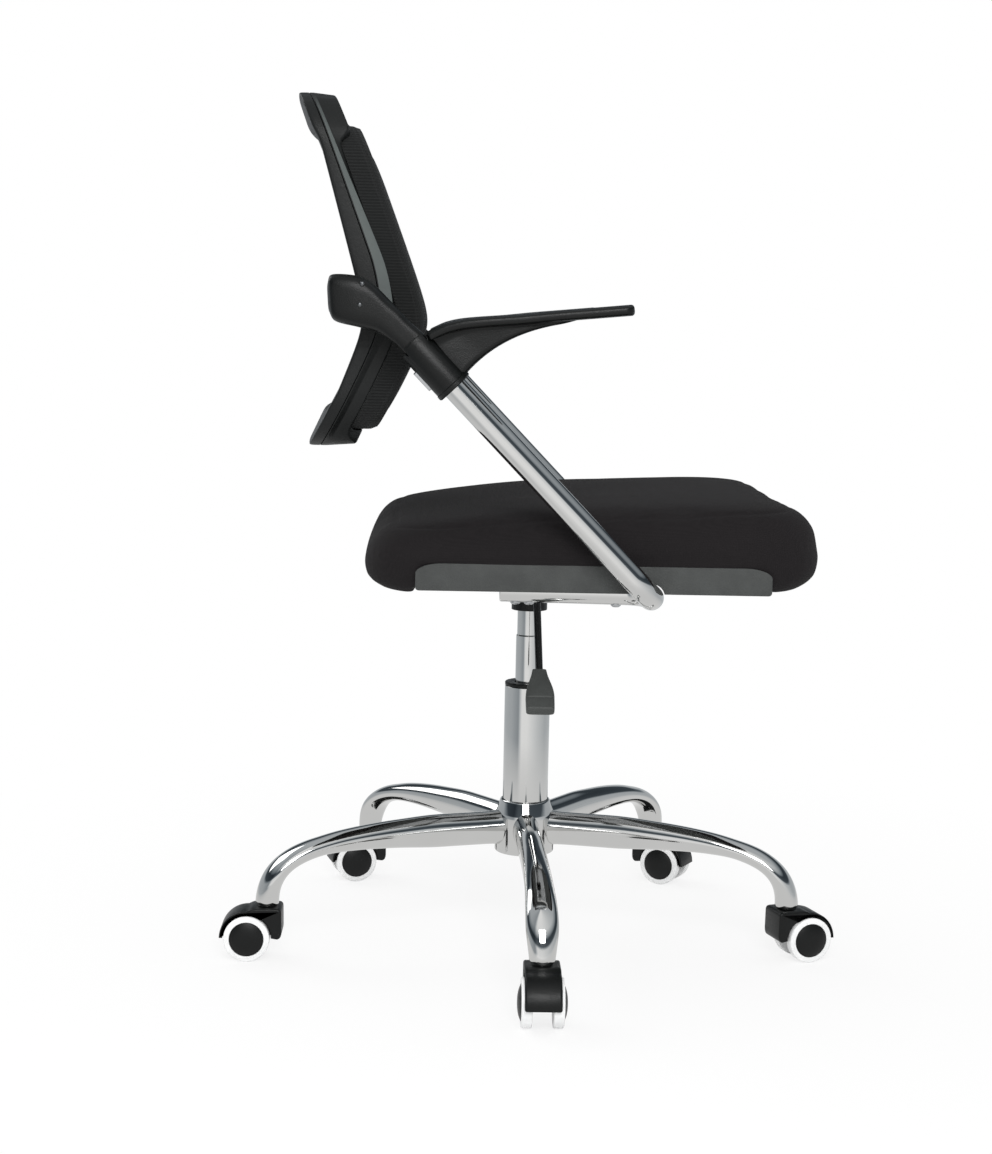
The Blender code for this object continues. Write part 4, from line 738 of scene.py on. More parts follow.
@made_once("materials")
def plywood(name):
    """Birch plywood: long streaks of grain."""
    made, tree, shader = shader_of(name, Roughness=0.7)
    place = object_place(tree)
    streaks = stretched_noise(tree, place, scales=(6.0, 70.0, 300.0), detail=5.0, roughness=0.6)
    tree.links.new(tinted(tree, streaks, colours().wood, low=0.7, high=1.25), shader.inputs["Base Color"])
    tree.links.new(bump(tree, streaks, strength=0.15, distance=0.0005), shader.inputs["Normal"])
    return made


def sizes():
    """Sizes that the sidebar shows."""
    return bpy.context.scene.chair_sizes


def colours():
    """Colours that the sidebar shows."""
    return bpy.context.scene.chair_colours


# Base, column and casters


def leg(turn):
    """Oval leg: a cubic path outwards and down, with an oval square on it whose height and width vary.

    The weld at the hub swells the oval by a falling exponential, and the tip draws it in by a square.
    """
    share = np.linspace(0.0, 1.0, 84)
    path = bezier(LEG_CURVE, share)
    slope = unit(np.gradient(path, axis=0))
    weld = 1.0 + WELD_SWELL * np.exp(-share / WELD_FADE)
    tip = 1.0 - TIP_DRAW * np.clip(1.0 - (1.0 - share) / TIP_RUN, 0.0, 1.0) ** 2
    wide, tall = (weld * tip * steady(share, *table) / 2.0 for table in (LEG_WIDTHS, LEG_HEIGHTS))
    loops = oval(wide, tall, power=2.1)
    outward = np.array([math.cos(turn), math.sin(turn), 0.0])
    line = COLUMN + in_space(path, outward, Z_AXIS)
    upward = in_space(slope, Z_AXIS, -outward)
    side = np.broadcast_to(np.cross(outward, Z_AXIS), line.shape)
    return patch(capped(lofted(line, side, upward, loops)))


def make_base():
    """Plated hub with a conical top and five swept legs."""
    bore = COLUMN_RADIUS + SEATED
    hub = [(bore, HUB_LOW), (HUB_RADIUS, HUB_LOW), (HUB_RADIUS, HUB_TOP), (bore + HUB_LIP, HUB_CONE),
           (bore, HUB_CONE)]
    hub = rounded(hub, reach=0.0025, steps=5, closed=True)
    base = assemble("star_base_plated", [turned(hub, loop=True), *map(leg, LEG_TURNS)])
    fit(base, chrome(), ["star_base"])


def make_column():
    """Plated column, its black guide bush and the plated gas cylinder."""
    inside = COLUMN_RADIUS - COLUMN_WALL
    tube = [(0.0, HUB_LOW), (COLUMN_RADIUS, HUB_LOW), (COLUMN_RADIUS, COLUMN_TOP), (inside, COLUMN_TOP),
            (inside, COLUMN_FLOOR), (0.0, COLUMN_FLOOR)]
    tube = rounded(tube, reach=0.0006)
    fit(assemble("column_plated", [turned(tube)]), chrome(), ["column_tube"])
    guide, seat = CYLINDER_RADIUS + RUNNING, COLUMN_TOP + SEATED
    bush = [(guide, BUSH_TOP), (guide, BUSH_LOW), (inside - SEATED, BUSH_LOW), (inside - SEATED, seat),
            (COLUMN_RADIUS, seat), (COLUMN_RADIUS, BUSH_TOP)]
    bush = rounded(bush, reach=0.0012, closed=True)
    bush = assemble("column_bush_moulded", [turned(bush, loop=True)])
    fit(bush, black_plastic(), ["column_bush"])
    neck, pin_top = CYLINDER_RADIUS - STEP_DEPTH, CYLINDER_TOP + RELEASE_PIN_RISE
    spring = [(0.0, CYLINDER_LOW), (CYLINDER_RADIUS, CYLINDER_LOW), (CYLINDER_RADIUS, CYLINDER_STEP),
              (neck, CYLINDER_STEP + STEP_DEPTH), (neck, CYLINDER_TOP), (RELEASE_PIN_RADIUS, CYLINDER_TOP),
              (RELEASE_PIN_RADIUS, pin_top), (0.0, pin_top)]
    spring = rounded(spring, reach=0.0004, steps=3)
    fit(assemble("gas_cylinder_plated", [turned(spring)]), chrome(), ["gas_cylinder"])


def make_casters():
    """Hooded housings with twin wheels and domed caps, each turned the way its own axle lies."""
    hood = np.concatenate([
        arc(HOOD_RADIUS, 0.0, 90.0, 24),
        rounded([(0.0, HOOD_RADIUS + 0.0001), (-0.006, HOOD_TOP), (HOOD_REAR + 0.0005, HOOD_TOP),
                 (HOOD_REAR, HOOD_FOOT), (-HOOD_INSIDE, HOOD_FOOT)],
                reach=(0.0, 0.0045, 0.0050, 0.0095, 0.0), steps=8)[1:-1],
        arc(HOOD_INSIDE, 180.0, 0.0, 36)])
    web = np.concatenate([arc(WEB_RADIUS, 6.0, 174.0, 40), arc(WEB_BOSS, 220.0, 320.0, 12)])
    pocket = CAP_RADIUS + SEATED
    tyre = [(WHEEL_BORE, WHEEL_NEAR), (WHEEL_RADIUS, WHEEL_NEAR), (WHEEL_RADIUS, WHEEL_FAR),
            (pocket, WHEEL_FAR), (pocket, CAP_SEAT), (WHEEL_BORE, CAP_SEAT)]
    reach = (0.0004, 0.0018, 0.0020, 0.0005, 0.0004, 0.0004)
    tyre = rounded(tyre, reach, steps=5, closed=True)
    run = np.linspace(0.0, 1.0, 14)
    dome = np.stack([CAP_RADIUS * run, WHEEL_FAR + CAP_DOME * (1.0 - run ** CAP_POWER)], axis=1)
    dome = np.concatenate([dome, [(CAP_RADIUS, WHEEL_FAR - 0.001), (CAP_RADIUS, CAP_SEAT + SEATED),
                                  (0.0, CAP_SEAT + SEATED)]])
    nylon = plastic("pale_nylon", colours().tyre, rough=0.38, pits=500.0, depth=0.06, lighter=1.12)
    black = plastic("cap_black", colours().plastic, rough=0.40, pits=1200.0, depth=0.12, lighter=1.4)
    for name in CASTERS:
        stem, wheel = (np.array(JOINTS[f"{name}_{joint}"]["pos_m"]) for joint in ("swivel", "roll_a"))
        centre = np.array([wheel[0], wheel[1], WHEEL_RADIUS])
        trailing = unit((wheel - stem) * (1.0, 1.0, 0.0))
        axle = np.cross(trailing, Z_AXIS)
        parts = [plate(hood, -HOOD_HALF, HOOD_HALF, HOOD_EDGE, centre, trailing, Z_AXIS, axle),
                 plate(web, -WEB_HALF, WEB_HALF, WEB_EDGE, centre, trailing, Z_AXIS, axle)]
        fit(assemble(f"{name}_hood", parts), black_plastic(), [f"{name}_housing"])
        for side, sign in (("a", 1.0), ("b", -1.0)):
            wheels = assemble(f"{name}_tyre_{side}", [turned(tyre, centre, sign * axle, sides=72, loop=True)])
            fit(wheels, nylon, [f"{name}_wheel_{side}"])
            caps = assemble(f"{name}_dome_{side}", [turned(dome, centre, sign * axle, sides=64)])
            fit(caps, black, [f"{name}_cap_{side}"])


# Under the seat


def make_tubes():
    """Bent plated tubes: a circle carried along the path, pressed to a flat round-ended tongue at the hinge.

    The tongue's half height is half a chord of its end circle, and its oval is squarer than the tube's.
    """
    # Stations lie closer together up to here, where the tube is pressed
    close = 0.045
    tip = TONGUE_RADIUS * (1.0 - np.cos(np.linspace(0.0, math.pi / 2.0, 14)))
    for name, side in SIDES:
        pivot = HINGE + side * TUBE_Y * Y_AXIS
        elbow = COLUMN + (ELBOW_X, side * TUBE_Y, RUNNER_Z)
        inner = COLUMN + (ELBOW_X, side * RUNNER_FRONT_Y, RUNNER_Z)
        rear = COLUMN + (RUNNER_REAR[0], side * RUNNER_REAR[1], RUNNER_Z)
        path = bent([pivot - ALONG_TUBE * TONGUE_RADIUS, elbow, inner, rear], TUBE_BEND)
        total = travelled(path)[-1]
        end = total - TUBE_RIM * (1.0 - np.sin(np.linspace(0.0, math.pi / 2.0, 5)))
        places = np.concatenate([tip, np.linspace(TONGUE_RADIUS, close, 24)[1:],
                                 np.linspace(close, total - TUBE_RIM, 170)[1:-1], end])
        line = spaced(path, places)
        along = unit(np.gradient(line, axis=0))
        across = unit(np.cross(along, ABOVE_TUBE))
        upward = np.cross(across, along)
        past = places - TONGUE_RADIUS
        pressed = 1.0 - ease((past - TONGUE_LENGTH) / TONGUE_FADE)
        tongue = np.sqrt(np.maximum(TONGUE_RADIUS ** 2 - np.minimum(past, 0.0) ** 2, 1e-10))
        full = TUBE_RADIUS - drawn_in(total - places, TUBE_RIM)
        wide = full + (TONGUE_HALF - TUBE_RADIUS) * pressed
        tall = full + (tongue - TUBE_RADIUS) * pressed
        round_loop, flat_loop = oval(wide, tall, power=2.0), oval(wide, tall, power=5.0)
        loops = round_loop + (flat_loop - round_loop) * pressed[:, None, None]
        points = capped(lofted(line, across, upward, loops))
        fit(assemble(f"side_tube_{name}_plated", [patch(points)]), chrome(), [f"side_tube_{name}"])


def make_pan():
    """Moulded tray: two side walls, notched for the tubes, and a floor between them.

    The upper corners of a wall are quarter ellipses, and its notches are arcs round the tubes.
    """
    notch = arc(TUBE_RADIUS + PAN_NOTCH_GAP, 166.0, 14.0, 18, (ELBOW_X, RUNNER_Z))
    quarter = np.linspace(0.0, math.pi / 2.0, 12)
    inset = PAN_CORNER * (1.0 - np.cos(quarter))
    height = PAN_FLOOR + PAN_RIM + (PAN_TOP - PAN_FLOOR - PAN_RIM) * np.sin(quarter)
    front = np.stack([PAN_FRONT - inset, height], axis=1)
    rear = np.stack([PAN_REAR + inset, height], axis=1)[::-1]
    low_front = [(notch[-1, 0] + 0.01, PAN_LOW), (PAN_FRONT, PAN_LOW), (PAN_FRONT, PAN_FLOOR)]
    low_rear = [(PAN_REAR, PAN_FLOOR), (PAN_REAR, PAN_LOW), (PAN_REAR + 0.03, PAN_LOW)]
    wall = np.concatenate([rounded(low_rear, PAN_RIM), notch, rounded(low_front, PAN_RIM), front, rear])
    wall = wall[np.linalg.norm(wall - np.roll(wall, 1, axis=0), axis=1) > 1e-5]
    parts = [plate(wall, low, low + PAN_WALL, PAN_EDGE, COLUMN, X_AXIS, Z_AXIS, Y_AXIS)
             for low in (-PAN_HALF, PAN_HALF - PAN_WALL)]
    middle = COLUMN + ((PAN_REAR + PAN_FRONT) / 2.0, 0.0, 0.0)
    tray = soft_box((PAN_FRONT - PAN_REAR) / 2.0, PAN_HALF - PAN_FLOOR_INSET, PAN_RIM, steps=4)
    parts.append(plate(tray, PAN_FLOOR, PAN_FLOOR + PAN_WALL, PAN_FLOOR_EDGE, middle, X_AXIS, Y_AXIS, Z_AXIS))
    grey_plastic = plastic("pan_grey", colours().pan, rough=0.55, pits=700.0, depth=0.4, lighter=1.7)
    fit(assemble("seat_pan_moulded", parts), grey_plastic, ["seat_pan"])


def make_lever():
    """Bent black rod and a flared paddle with a grip line near its end.

    The rod is a circle carried along a bent path. The paddle is a squared oval whose halves follow a table
    along its length, with a bell-shaped groove.
    """
    pivot = np.array(JOINTS["lever_lift"]["pos_m"])
    down = np.array([0.0, -math.cos(LEVER_DROP), -math.sin(LEVER_DROP)])
    bend = pivot - LEVER_OUT * Y_AXIS
    start = bend + PADDLE_START * down
    path = bent([pivot + LEVER_IN * Y_AXIS, bend, start + ROD_SUNK * down], ROD_BEND, steps=12)
    line = spaced(path, np.linspace(0.0, travelled(path)[-1], 90))
    side = np.broadcast_to(X_AXIS, line.shape)
    upward = np.cross(X_AXIS, unit(np.gradient(line, axis=0)))
    radius = np.full(len(line), ROD_RADIUS)
    rod = capped(lofted(line, side, upward, oval(radius, radius, power=2.0, count=28)))
    painted = plastic("painted_rod", colours().plastic, rough=0.34, pits=1500.0, depth=0.06, lighter=1.3,
                      coat=0.3)
    fit(assemble("lever_rod_painted", [patch(rod)]), painted, ["lever_rod"])
    share = np.concatenate([np.linspace(0.0, 0.80, 40), np.linspace(0.805, 1.0, 40)])
    left = PADDLE_LENGTH * (1.0 - share) + 1e-5
    groove = GRIP_DEPTH * np.exp(-((share - GRIP_PLACE) / GRIP_WIDTH) ** 2)
    wide = PADDLE_HALF * steady(share, *PADDLE_WIDTHS) - drawn_in(left, 0.0025) - groove
    thick = PADDLE_THICK_HALF * steady(share, *PADDLE_DEPTHS) - drawn_in(left, 0.0022) - groove
    line = start + PADDLE_LENGTH * share[:, None] * down
    side = np.broadcast_to(X_AXIS, line.shape)
    upward = np.broadcast_to(np.cross(X_AXIS, down), line.shape)
    paddle = capped(lofted(line, side, upward, oval(wide, thick, power=6.0, count=64)))
    dull = plastic("paddle_black", colours().paddle, rough=0.50)
    fit(assemble("lever_paddle_moulded", [patch(paddle)]), dull, ["lever_paddle"])


# Arms and hinge


def arm_pad(pivot):
    """Flat pad: an oval carried along a flowing line, with both ends drawn in as quarter circles."""
    last = len(PAD_LINE) - 1.0
    at = np.concatenate([0.12 * np.linspace(0.0, 1.0, 9) ** 2, np.linspace(0.13, last - 0.5, 80),
                         last - 0.5 * (1.0 - np.linspace(0.0, 1.0, 22)[1:]) ** 2])
    path = flowing(at, PAD_LINE)
    slope = unit(np.gradient(path, axis=0))
    gone = travelled(path)
    left = gone[-1] - gone + 1e-5
    root = drawn_in(gone + 1e-5, PAD_ROOT_RIM)
    loops = oval(flowing(at, PAD_HALVES) - root - drawn_in(left, PAD_END_PLAN),
                 PAD_THICKNESS / 2.0 - root - drawn_in(left, PAD_END_RIM), power=3.4, count=64)
    line = pivot + in_space(path, X_AXIS, Z_AXIS)
    upward = in_space(slope, Z_AXIS, -X_AXIS)
    return patch(capped(lofted(line, np.broadcast_to(Y_AXIS, line.shape), upward, loops)))


def arm_rib(pivot):
    """Web under the pad: straight lines from a cubic curve up to the pad's line, with a half thickness.

    The half thickness is a quarter circle at the foot and gains the square of a flare under the pad.
    """
    share = np.linspace(0.0, 1.0, 48)
    lift = RIB_TIP_LIFT * (1.0 - ease(share / 0.22))
    low = bezier(RIB_CURVE, share) + lift[:, None] * (0.0, 1.0)
    high = flowing(np.linspace(*RIB_TOP, len(share)), PAD_LINE)
    depth = np.linalg.norm(high - low, axis=1)[:, None]
    rise = np.linspace(0.0, 1.0, 28)[None, :]
    half = RIB_HALF + RIB_MIDDLE_GAIN * ease(2.0 * share) + RIB_ROOT_GAIN * ease((share - 0.7) / 0.3)
    below = 1.0 - np.clip(rise * depth / np.minimum(RIB_FOOT, 0.45 * depth), 0.0, 1.0)
    flare = np.clip(1.0 - ((1.0 - rise) * depth - FLARE_START) / FLARE_RUN, 0.0, 1.0)
    reach = half[:, None] * np.sqrt(1.0 - below ** 2) + FLARE_REACH * flare ** 2
    reach = np.concatenate([reach, -reach[:, ::-1]], axis=1)[..., None]
    sheet = low[:, None] + (high - low)[:, None] * rise[..., None]
    sheet = np.concatenate([sheet, sheet[:, ::-1]], axis=1)
    return patch(capped(pivot + in_space(sheet, X_AXIS, Z_AXIS) + reach * Y_AXIS))


def arm_sleeve(pivot):
    """Sleeve round the tube: at each angle a closed section of radii and of distances along the tube.

    The mouth lies on the circle that the knuckle sweeps, at sqrt(r^2 - (x cos a)^2) from the hinge. Where
    the cheeks flatten the bore, ears reach past the mouth. A bead runs round the foot.
    """
    angle = np.linspace(0.0, 2.0 * math.pi, 96, endpoint=False)
    cheek = (KNUCKLE_HALF + CHEEK_GAP) / np.maximum(np.abs(np.sin(angle)), 1e-3)
    cheek = np.minimum(SLEEVE_RADIUS, cheek)
    swept = (KNUCKLE_RADIUS + HOLLOW_GAP) ** 2
    inner, outer = (np.sqrt(np.maximum(swept - (radius * np.cos(angle)) ** 2, SLEEVE_START ** 2))
                    for radius in (SLEEVE_BORE, cheek))
    ear = np.where(cheek < SLEEVE_RADIUS - 1e-4, SLEEVE_EAR, outer)
    rim, bead = SLEEVE_MOUTH_RIM, SLEEVE_RADIUS + SLEEVE_BEAD
    section = ((SLEEVE_BORE, inner), (cheek, outer), (cheek, ear),
               (np.maximum(cheek, SLEEVE_RADIUS - rim), ear),
               (SLEEVE_RADIUS - 0.3 * rim, ear + 0.3 * rim), (SLEEVE_RADIUS, ear + rim),
               (SLEEVE_RADIUS, BEAD_START), (bead, BEAD_FULL), (bead, BEAD_END),
               (SLEEVE_RADIUS - SLEEVE_END_RIM, SLEEVE_END), (SLEEVE_BORE, SLEEVE_END))
    radius, run = (np.stack([np.broadcast_to(point[k], angle.shape) for point in section])[..., None]
                   for k in (0, 1))
    spokes = np.cos(angle)[:, None] * ABOVE_TUBE + np.sin(angle)[:, None] * Y_AXIS
    return patch(pivot + run * ALONG_TUBE + radius * spokes, loop=True)


def make_armrests():
    """Arms from the hinge: pad, web and sleeve in one piece, with a steel clip under the sleeve."""
    clip = soft_box(CLIP_HALF_LONG, CLIP_HALF_WIDE, CLIP_CORNER, steps=4)
    for name, side in SIDES:
        pivot = HINGE + side * TUBE_Y * Y_AXIS
        arm = assemble(f"armrest_{name}_moulded", [arm_pad(pivot), arm_rib(pivot), arm_sleeve(pivot)])
        fit(arm, black_plastic(), [f"armrest_{name}"])
        below = pivot + CLIP_PLACE * ALONG_TUBE - SLEEVE_RADIUS * ABOVE_TUBE
        strip = plate(clip, CLIP_OUT, CLIP_IN, CLIP_EDGE, below, ALONG_TUBE, -Y_AXIS, ABOVE_TUBE)
        fit(assemble(f"sleeve_clip_{name}", [strip]), steel(), body="seat")


def make_lugs():
    """Lug from the back to the hinge: ovals along a flowing outline that ends on the knuckle's circle.

    Past the slot's start each oval is cut off at the slot's two sides, which leaves the fork's cheeks.
    """
    at = np.concatenate([0.3 * np.linspace(0.0, 1.0, 10) ** 2, np.linspace(0.35, LUG_SLOT, 60)])
    slot = len(at) - 1
    top, bottom = flowing(at, LUG_TOPS), flowing(at, LUG_BOTTOMS)
    turn = np.radians(np.linspace(0.0, 90.0, 16))
    along, above = np.array([ALONG_TUBE, ABOVE_TUBE])[:, ::2]
    middle = KNUCKLE_RADIUS * np.sin(turn)[:, None] * along
    half = KNUCKLE_RADIUS * np.maximum(np.cos(turn), 0.02)[:, None] * above
    share = np.linspace(0.0, 1.0, 9)[1:-1, None]
    top = np.concatenate([top, top[-1] + share * (half[0] - top[-1]), middle + half])
    bottom = np.concatenate([bottom, bottom[-1] + share * (-half[0] - bottom[-1]), middle - half])
    at = np.concatenate([at, np.full(len(top) - len(at), 6.0)])
    near, far = steady(at, range(7), LUG_NEAR), steady(at, range(7), LUG_FAR)
    tall = np.linalg.norm(top - bottom, axis=1)
    upward = (top - bottom) / tall[:, None]
    middle = (top + bottom) / 2.0
    rim = drawn_in(travelled(middle) + 1e-5, LUG_RIM)
    powers = 4.6 - 0.8 * ease((at - 2.0) / 2.6)
    halves = zip((far - near) / 2.0 - rim, tall / 2.0 - rim, powers)
    loops = np.stack([oval(wide, high, power, count=80) for wide, high, power in halves])
    centre_y = (near + far) / 2.0
    for name, side in SIDES:
        line = HINGE + in_space(middle, X_AXIS, Z_AXIS) + side * centre_y[:, None] * Y_AXIS
        tall_way = in_space(upward, X_AXIS, Z_AXIS)
        side_way = np.broadcast_to(side * Y_AXIS, line.shape)
        parts = [patch(capped(lofted(line, side_way, tall_way, loops)[:slot + 1]))]
        eye = TUBE_Y - centre_y[slot:, None]
        for low, high in ((SLOT_HALF, 1.0), (-1.0, -SLOT_HALF)):
            cut = loops[slot:].copy()
            cut[..., 0] = np.clip(cut[..., 0], eye + low, eye + high)
            parts.append(patch(capped(lofted(line[slot:], side_way[slot:], tall_way[slot:], cut))))
        lug = assemble(f"back_lug_{name}_moulded", parts)
        fit(lug, black_plastic(), [f"back_lug_{name}"])


def make_fasteners():
    """Domed screw heads in the lugs, and bolt heads under the runners."""
    screw = rounded(SCREW_HEAD, reach=0.0004, steps=3)
    bolt = rounded(BOLT_HEAD, reach=0.0005, steps=3)
    slope = (RUNNER_FRONT_Y - RUNNER_REAR[1]) / (ELBOW_X - RUNNER_REAR[0])
    bolts = [(x, RUNNER_REAR[1] + slope * (x - RUNNER_REAR[0])) for x in BOLT_PLACES]
    below = RUNNER_Z - TUBE_RADIUS + BOLT_SUNK
    # Dark steel for the lug screws: painted shade of the recesses round them
    dark = metal("blackened_steel", colours().screw, smooth=0.25, rough=0.45, hazed=0.80)
    for name, side in SIDES:
        heads = [turned(screw, HINGE + (x, side * LUG_FAR[-1], z), side * Y_AXIS, sides=24)
                 for x, z in LUG_SCREWS]
        fit(assemble(f"lug_screws_{name}", heads), dark, body="back")
        heads = [turned(bolt, COLUMN + (x, side * y, below), -Z_AXIS, sides=32) for x, y in bolts]
        fit(assemble(f"runner_bolts_{name}", heads), steel(), body="seat")


# Back


def lean(z):
    """Front plane of the frame: two straight runs joined by a hyperbola at the lumbar height."""
    t = z - LUMBAR_Z
    root = np.sqrt(t * t + LUMBAR_SOFT ** 2)
    return LUMBAR_X - UPPER_LEAN * (t + root) / 2.0 - LOWER_LEAN * (root - t) / 2.0


def bow(y):
    """How far the back bows rearwards between its sides: a parabola across."""
    return BACK_BOW * (1.0 - (y / BACK_HALF) ** 2)


def stile_depth(z):
    """Depth of the back's members, with a swell behind the two bars: each a smooth step up and one down."""
    swells = [ease((z - start) / rise) * (1.0 - ease((z - end) / fall))
              for start, rise, end, fall in (TOP_SWELL, LOW_SWELL)]
    return steady(z, *STILE_DEPTHS) + BAR_SWELL * sum(swells)


def trim_depth(z):
    """Depth of the front frame, which grows by a smooth step down to the hinge."""
    return TRIM_DEPTH + TRIM_GAIN * ease((TRIM_GAIN_HIGH - z) / TRIM_GAIN_RUN)


def back_loop(half, low, high, corner):
    """Outline of the back from the front: quarter circles joined by straight runs, as (y, z) points."""
    left = half - corner
    across = np.linspace(-left, left, 60)[1:-1]
    up = np.linspace(low + corner, high - corner, 70)[1:-1]
    top = np.stack([across[::-1], np.full(len(across), high)], axis=1)
    right = np.stack([np.full(len(up), -half), up[::-1]], axis=1)
    bottom = np.stack([across, np.full(len(across), low)], axis=1)
    outer = np.stack([np.full(len(up), half), up], axis=1)
    centres = ((left, high - corner), (-left, high - corner), (-left, low + corner), (left, low + corner))
    runs = [part for k, (centre, run) in enumerate(zip(centres, (top, right, bottom, outer)))
            for part in (arc(corner, 90.0 * k, 90.0 * k + 90.0, 16, centre), run)]
    return np.concatenate(runs)


def ring_corners(outer, inner, section):
    """Section carried round between two outlines: each corner gives its share inwards and its depth."""
    corners = []
    for share, depth in section:
        flat = outer + (inner - outer) * np.broadcast_to(share, len(outer))[:, None]
        corners.append(np.stack([depth(flat[:, 1]) - bow(flat[:, 0]), flat[:, 0], flat[:, 1]], axis=1))
    return HINGE + np.stack(corners, axis=1)


def ring_cloth(points):
    """Lengths along and across a ring, for cloth wrapped round it."""
    around = np.cumsum(np.linalg.norm(points - np.roll(points, 1, axis=0), axis=2).mean(axis=1))
    steps = np.linalg.norm(points - np.roll(points, 1, axis=1), axis=2).mean(axis=0)
    steps[0] = 0.0
    return np.stack(np.broadcast_arrays(around[:, None], np.cumsum(steps)[None, :], 0.0), axis=-1)


def lip_room(outer, span):
    """Share of the way inwards, at each point of the back's outline, that stays clear of the carrier.

    The carrier's outline is a rounded box: its distance is that of the box through its corners' centres,
    less the corner's radius.
    """
    points = outer[:, None] + span[:, None] * np.linspace(0.0, 1.0, 101)[None, :, None]
    beyond = np.abs(points - (0.0, (CARRIER_LOW + CARRIER_HIGH) / 2.0))
    beyond -= (CARRIER_HALF - CARRIER_CORNER, (CARRIER_HIGH - CARRIER_LOW) / 2.0 - CARRIER_CORNER)
    outside = np.linalg.norm(np.maximum(beyond, 0.0), axis=2)
    distance = outside + np.minimum(beyond.max(axis=2), 0.0) - CARRIER_CORNER
    return (distance > LIP_GAP).cumprod(axis=1).mean(axis=1)


def make_back_shell():
    """Rear cover and front frame: rounded sections carried round the back's loop, leaning and bowed."""
    outer = back_loop(BACK_HALF, BACK_LOW, BACK_TOP, BACK_CORNER)
    inner = back_loop(BACK_HALF - BACK_STILE, BACK_LOW + BACK_BAR, BACK_TOP - BACK_BAR,
                      BACK_CORNER - BACK_STILE / 2.0)
    span = inner - outer

    def square(share, rise):
        level = bow(outer[:, 0] + span[:, 0] * share) - bow(outer[:, 0])
        return share, lambda z: lean(z) - stile_depth(z) + rise + level

    def cover_face(z):
        return lean(z) - trim_depth(z) - SEATED

    cover = [(0.0, cover_face), square(0.0, 0.002), square(0.05, 0.0), square(0.95, 0.0),
             square(1.0, 0.002), (1.0, cover_face)]
    short = inner + (inner[:, 1:] > COVER_SHORT_ABOVE) * (0.0, COVER_SHORT)
    reach = (0.0006, COVER_EDGE, COVER_EDGE, COVER_EDGE, COVER_EDGE, 0.0006)
    cover = rounded(ring_corners(outer, short, cover), reach, steps=5, closed=True)
    dark = plastic("cover_black", colours().cover, rough=0.42, pits=1000.0, depth=0.3, lighter=1.6)
    fit(assemble("back_cover_moulded", [patch(cover, loop=True)]), dark, ["back_cover"])

    free = lip_room(outer, span)
    lip_end, lip = np.clip(free, LIP_LEAST, LIP_MOST), LIP_RISE * ease((free - LIP_LEAST) / 0.2)
    run = unit(np.roll(outer, -1, axis=0) - np.roll(outer, 1, axis=0))
    sideways = ease((np.abs(run[:, 1]) - 0.35) / 0.6)

    def trim_face(z):
        return lean(z) - trim_depth(z) + SEATED

    def lip_face(z):
        return lean(z) + lip

    def strip_low(z):
        return trim_face(z) + STRIP_RISE

    def strip_high(z):
        return strip_low(z) + sizes().strip * steady(z, *STRIP_SHARES)

    inset = STRIP_INSET * sideways
    trim = [(0.0, trim_face), (1.0, trim_face), (1.0, lean), (lip_end + 0.04, lean), (lip_end, lip_face),
            (0.06 + inset, lip_face), (inset, strip_high), (0.0, strip_low)]
    reach = (0.0006, 0.0006, 0.002, 0.001, 0.002, 0.002, 0.0008, 0.0008)
    trim = rounded(ring_corners(outer, inner, trim), reach, steps=4, closed=True)
    # With five points to a corner, the strip runs from the seventh corner's end to the eighth's start
    strip = slice(33, 37)
    # Mask of the painted reflection on the strip: full on the sides, faded out towards the hinge
    painted_reflection_mask = np.zeros(trim.shape)
    painted_reflection_mask[:, strip, 0] = ease((trim[:, strip, 2] - HINGE[2] - STRIP_FADE_START) / STRIP_FADE)
    painted_reflection_mask *= sideways[:, None, None]
    made = assemble("back_trim_moulded", [patch(trim, loop=True, detail=painted_reflection_mask)])
    fit(made, trim_plastic("frame_black_and_grey"), ["back_frame"])


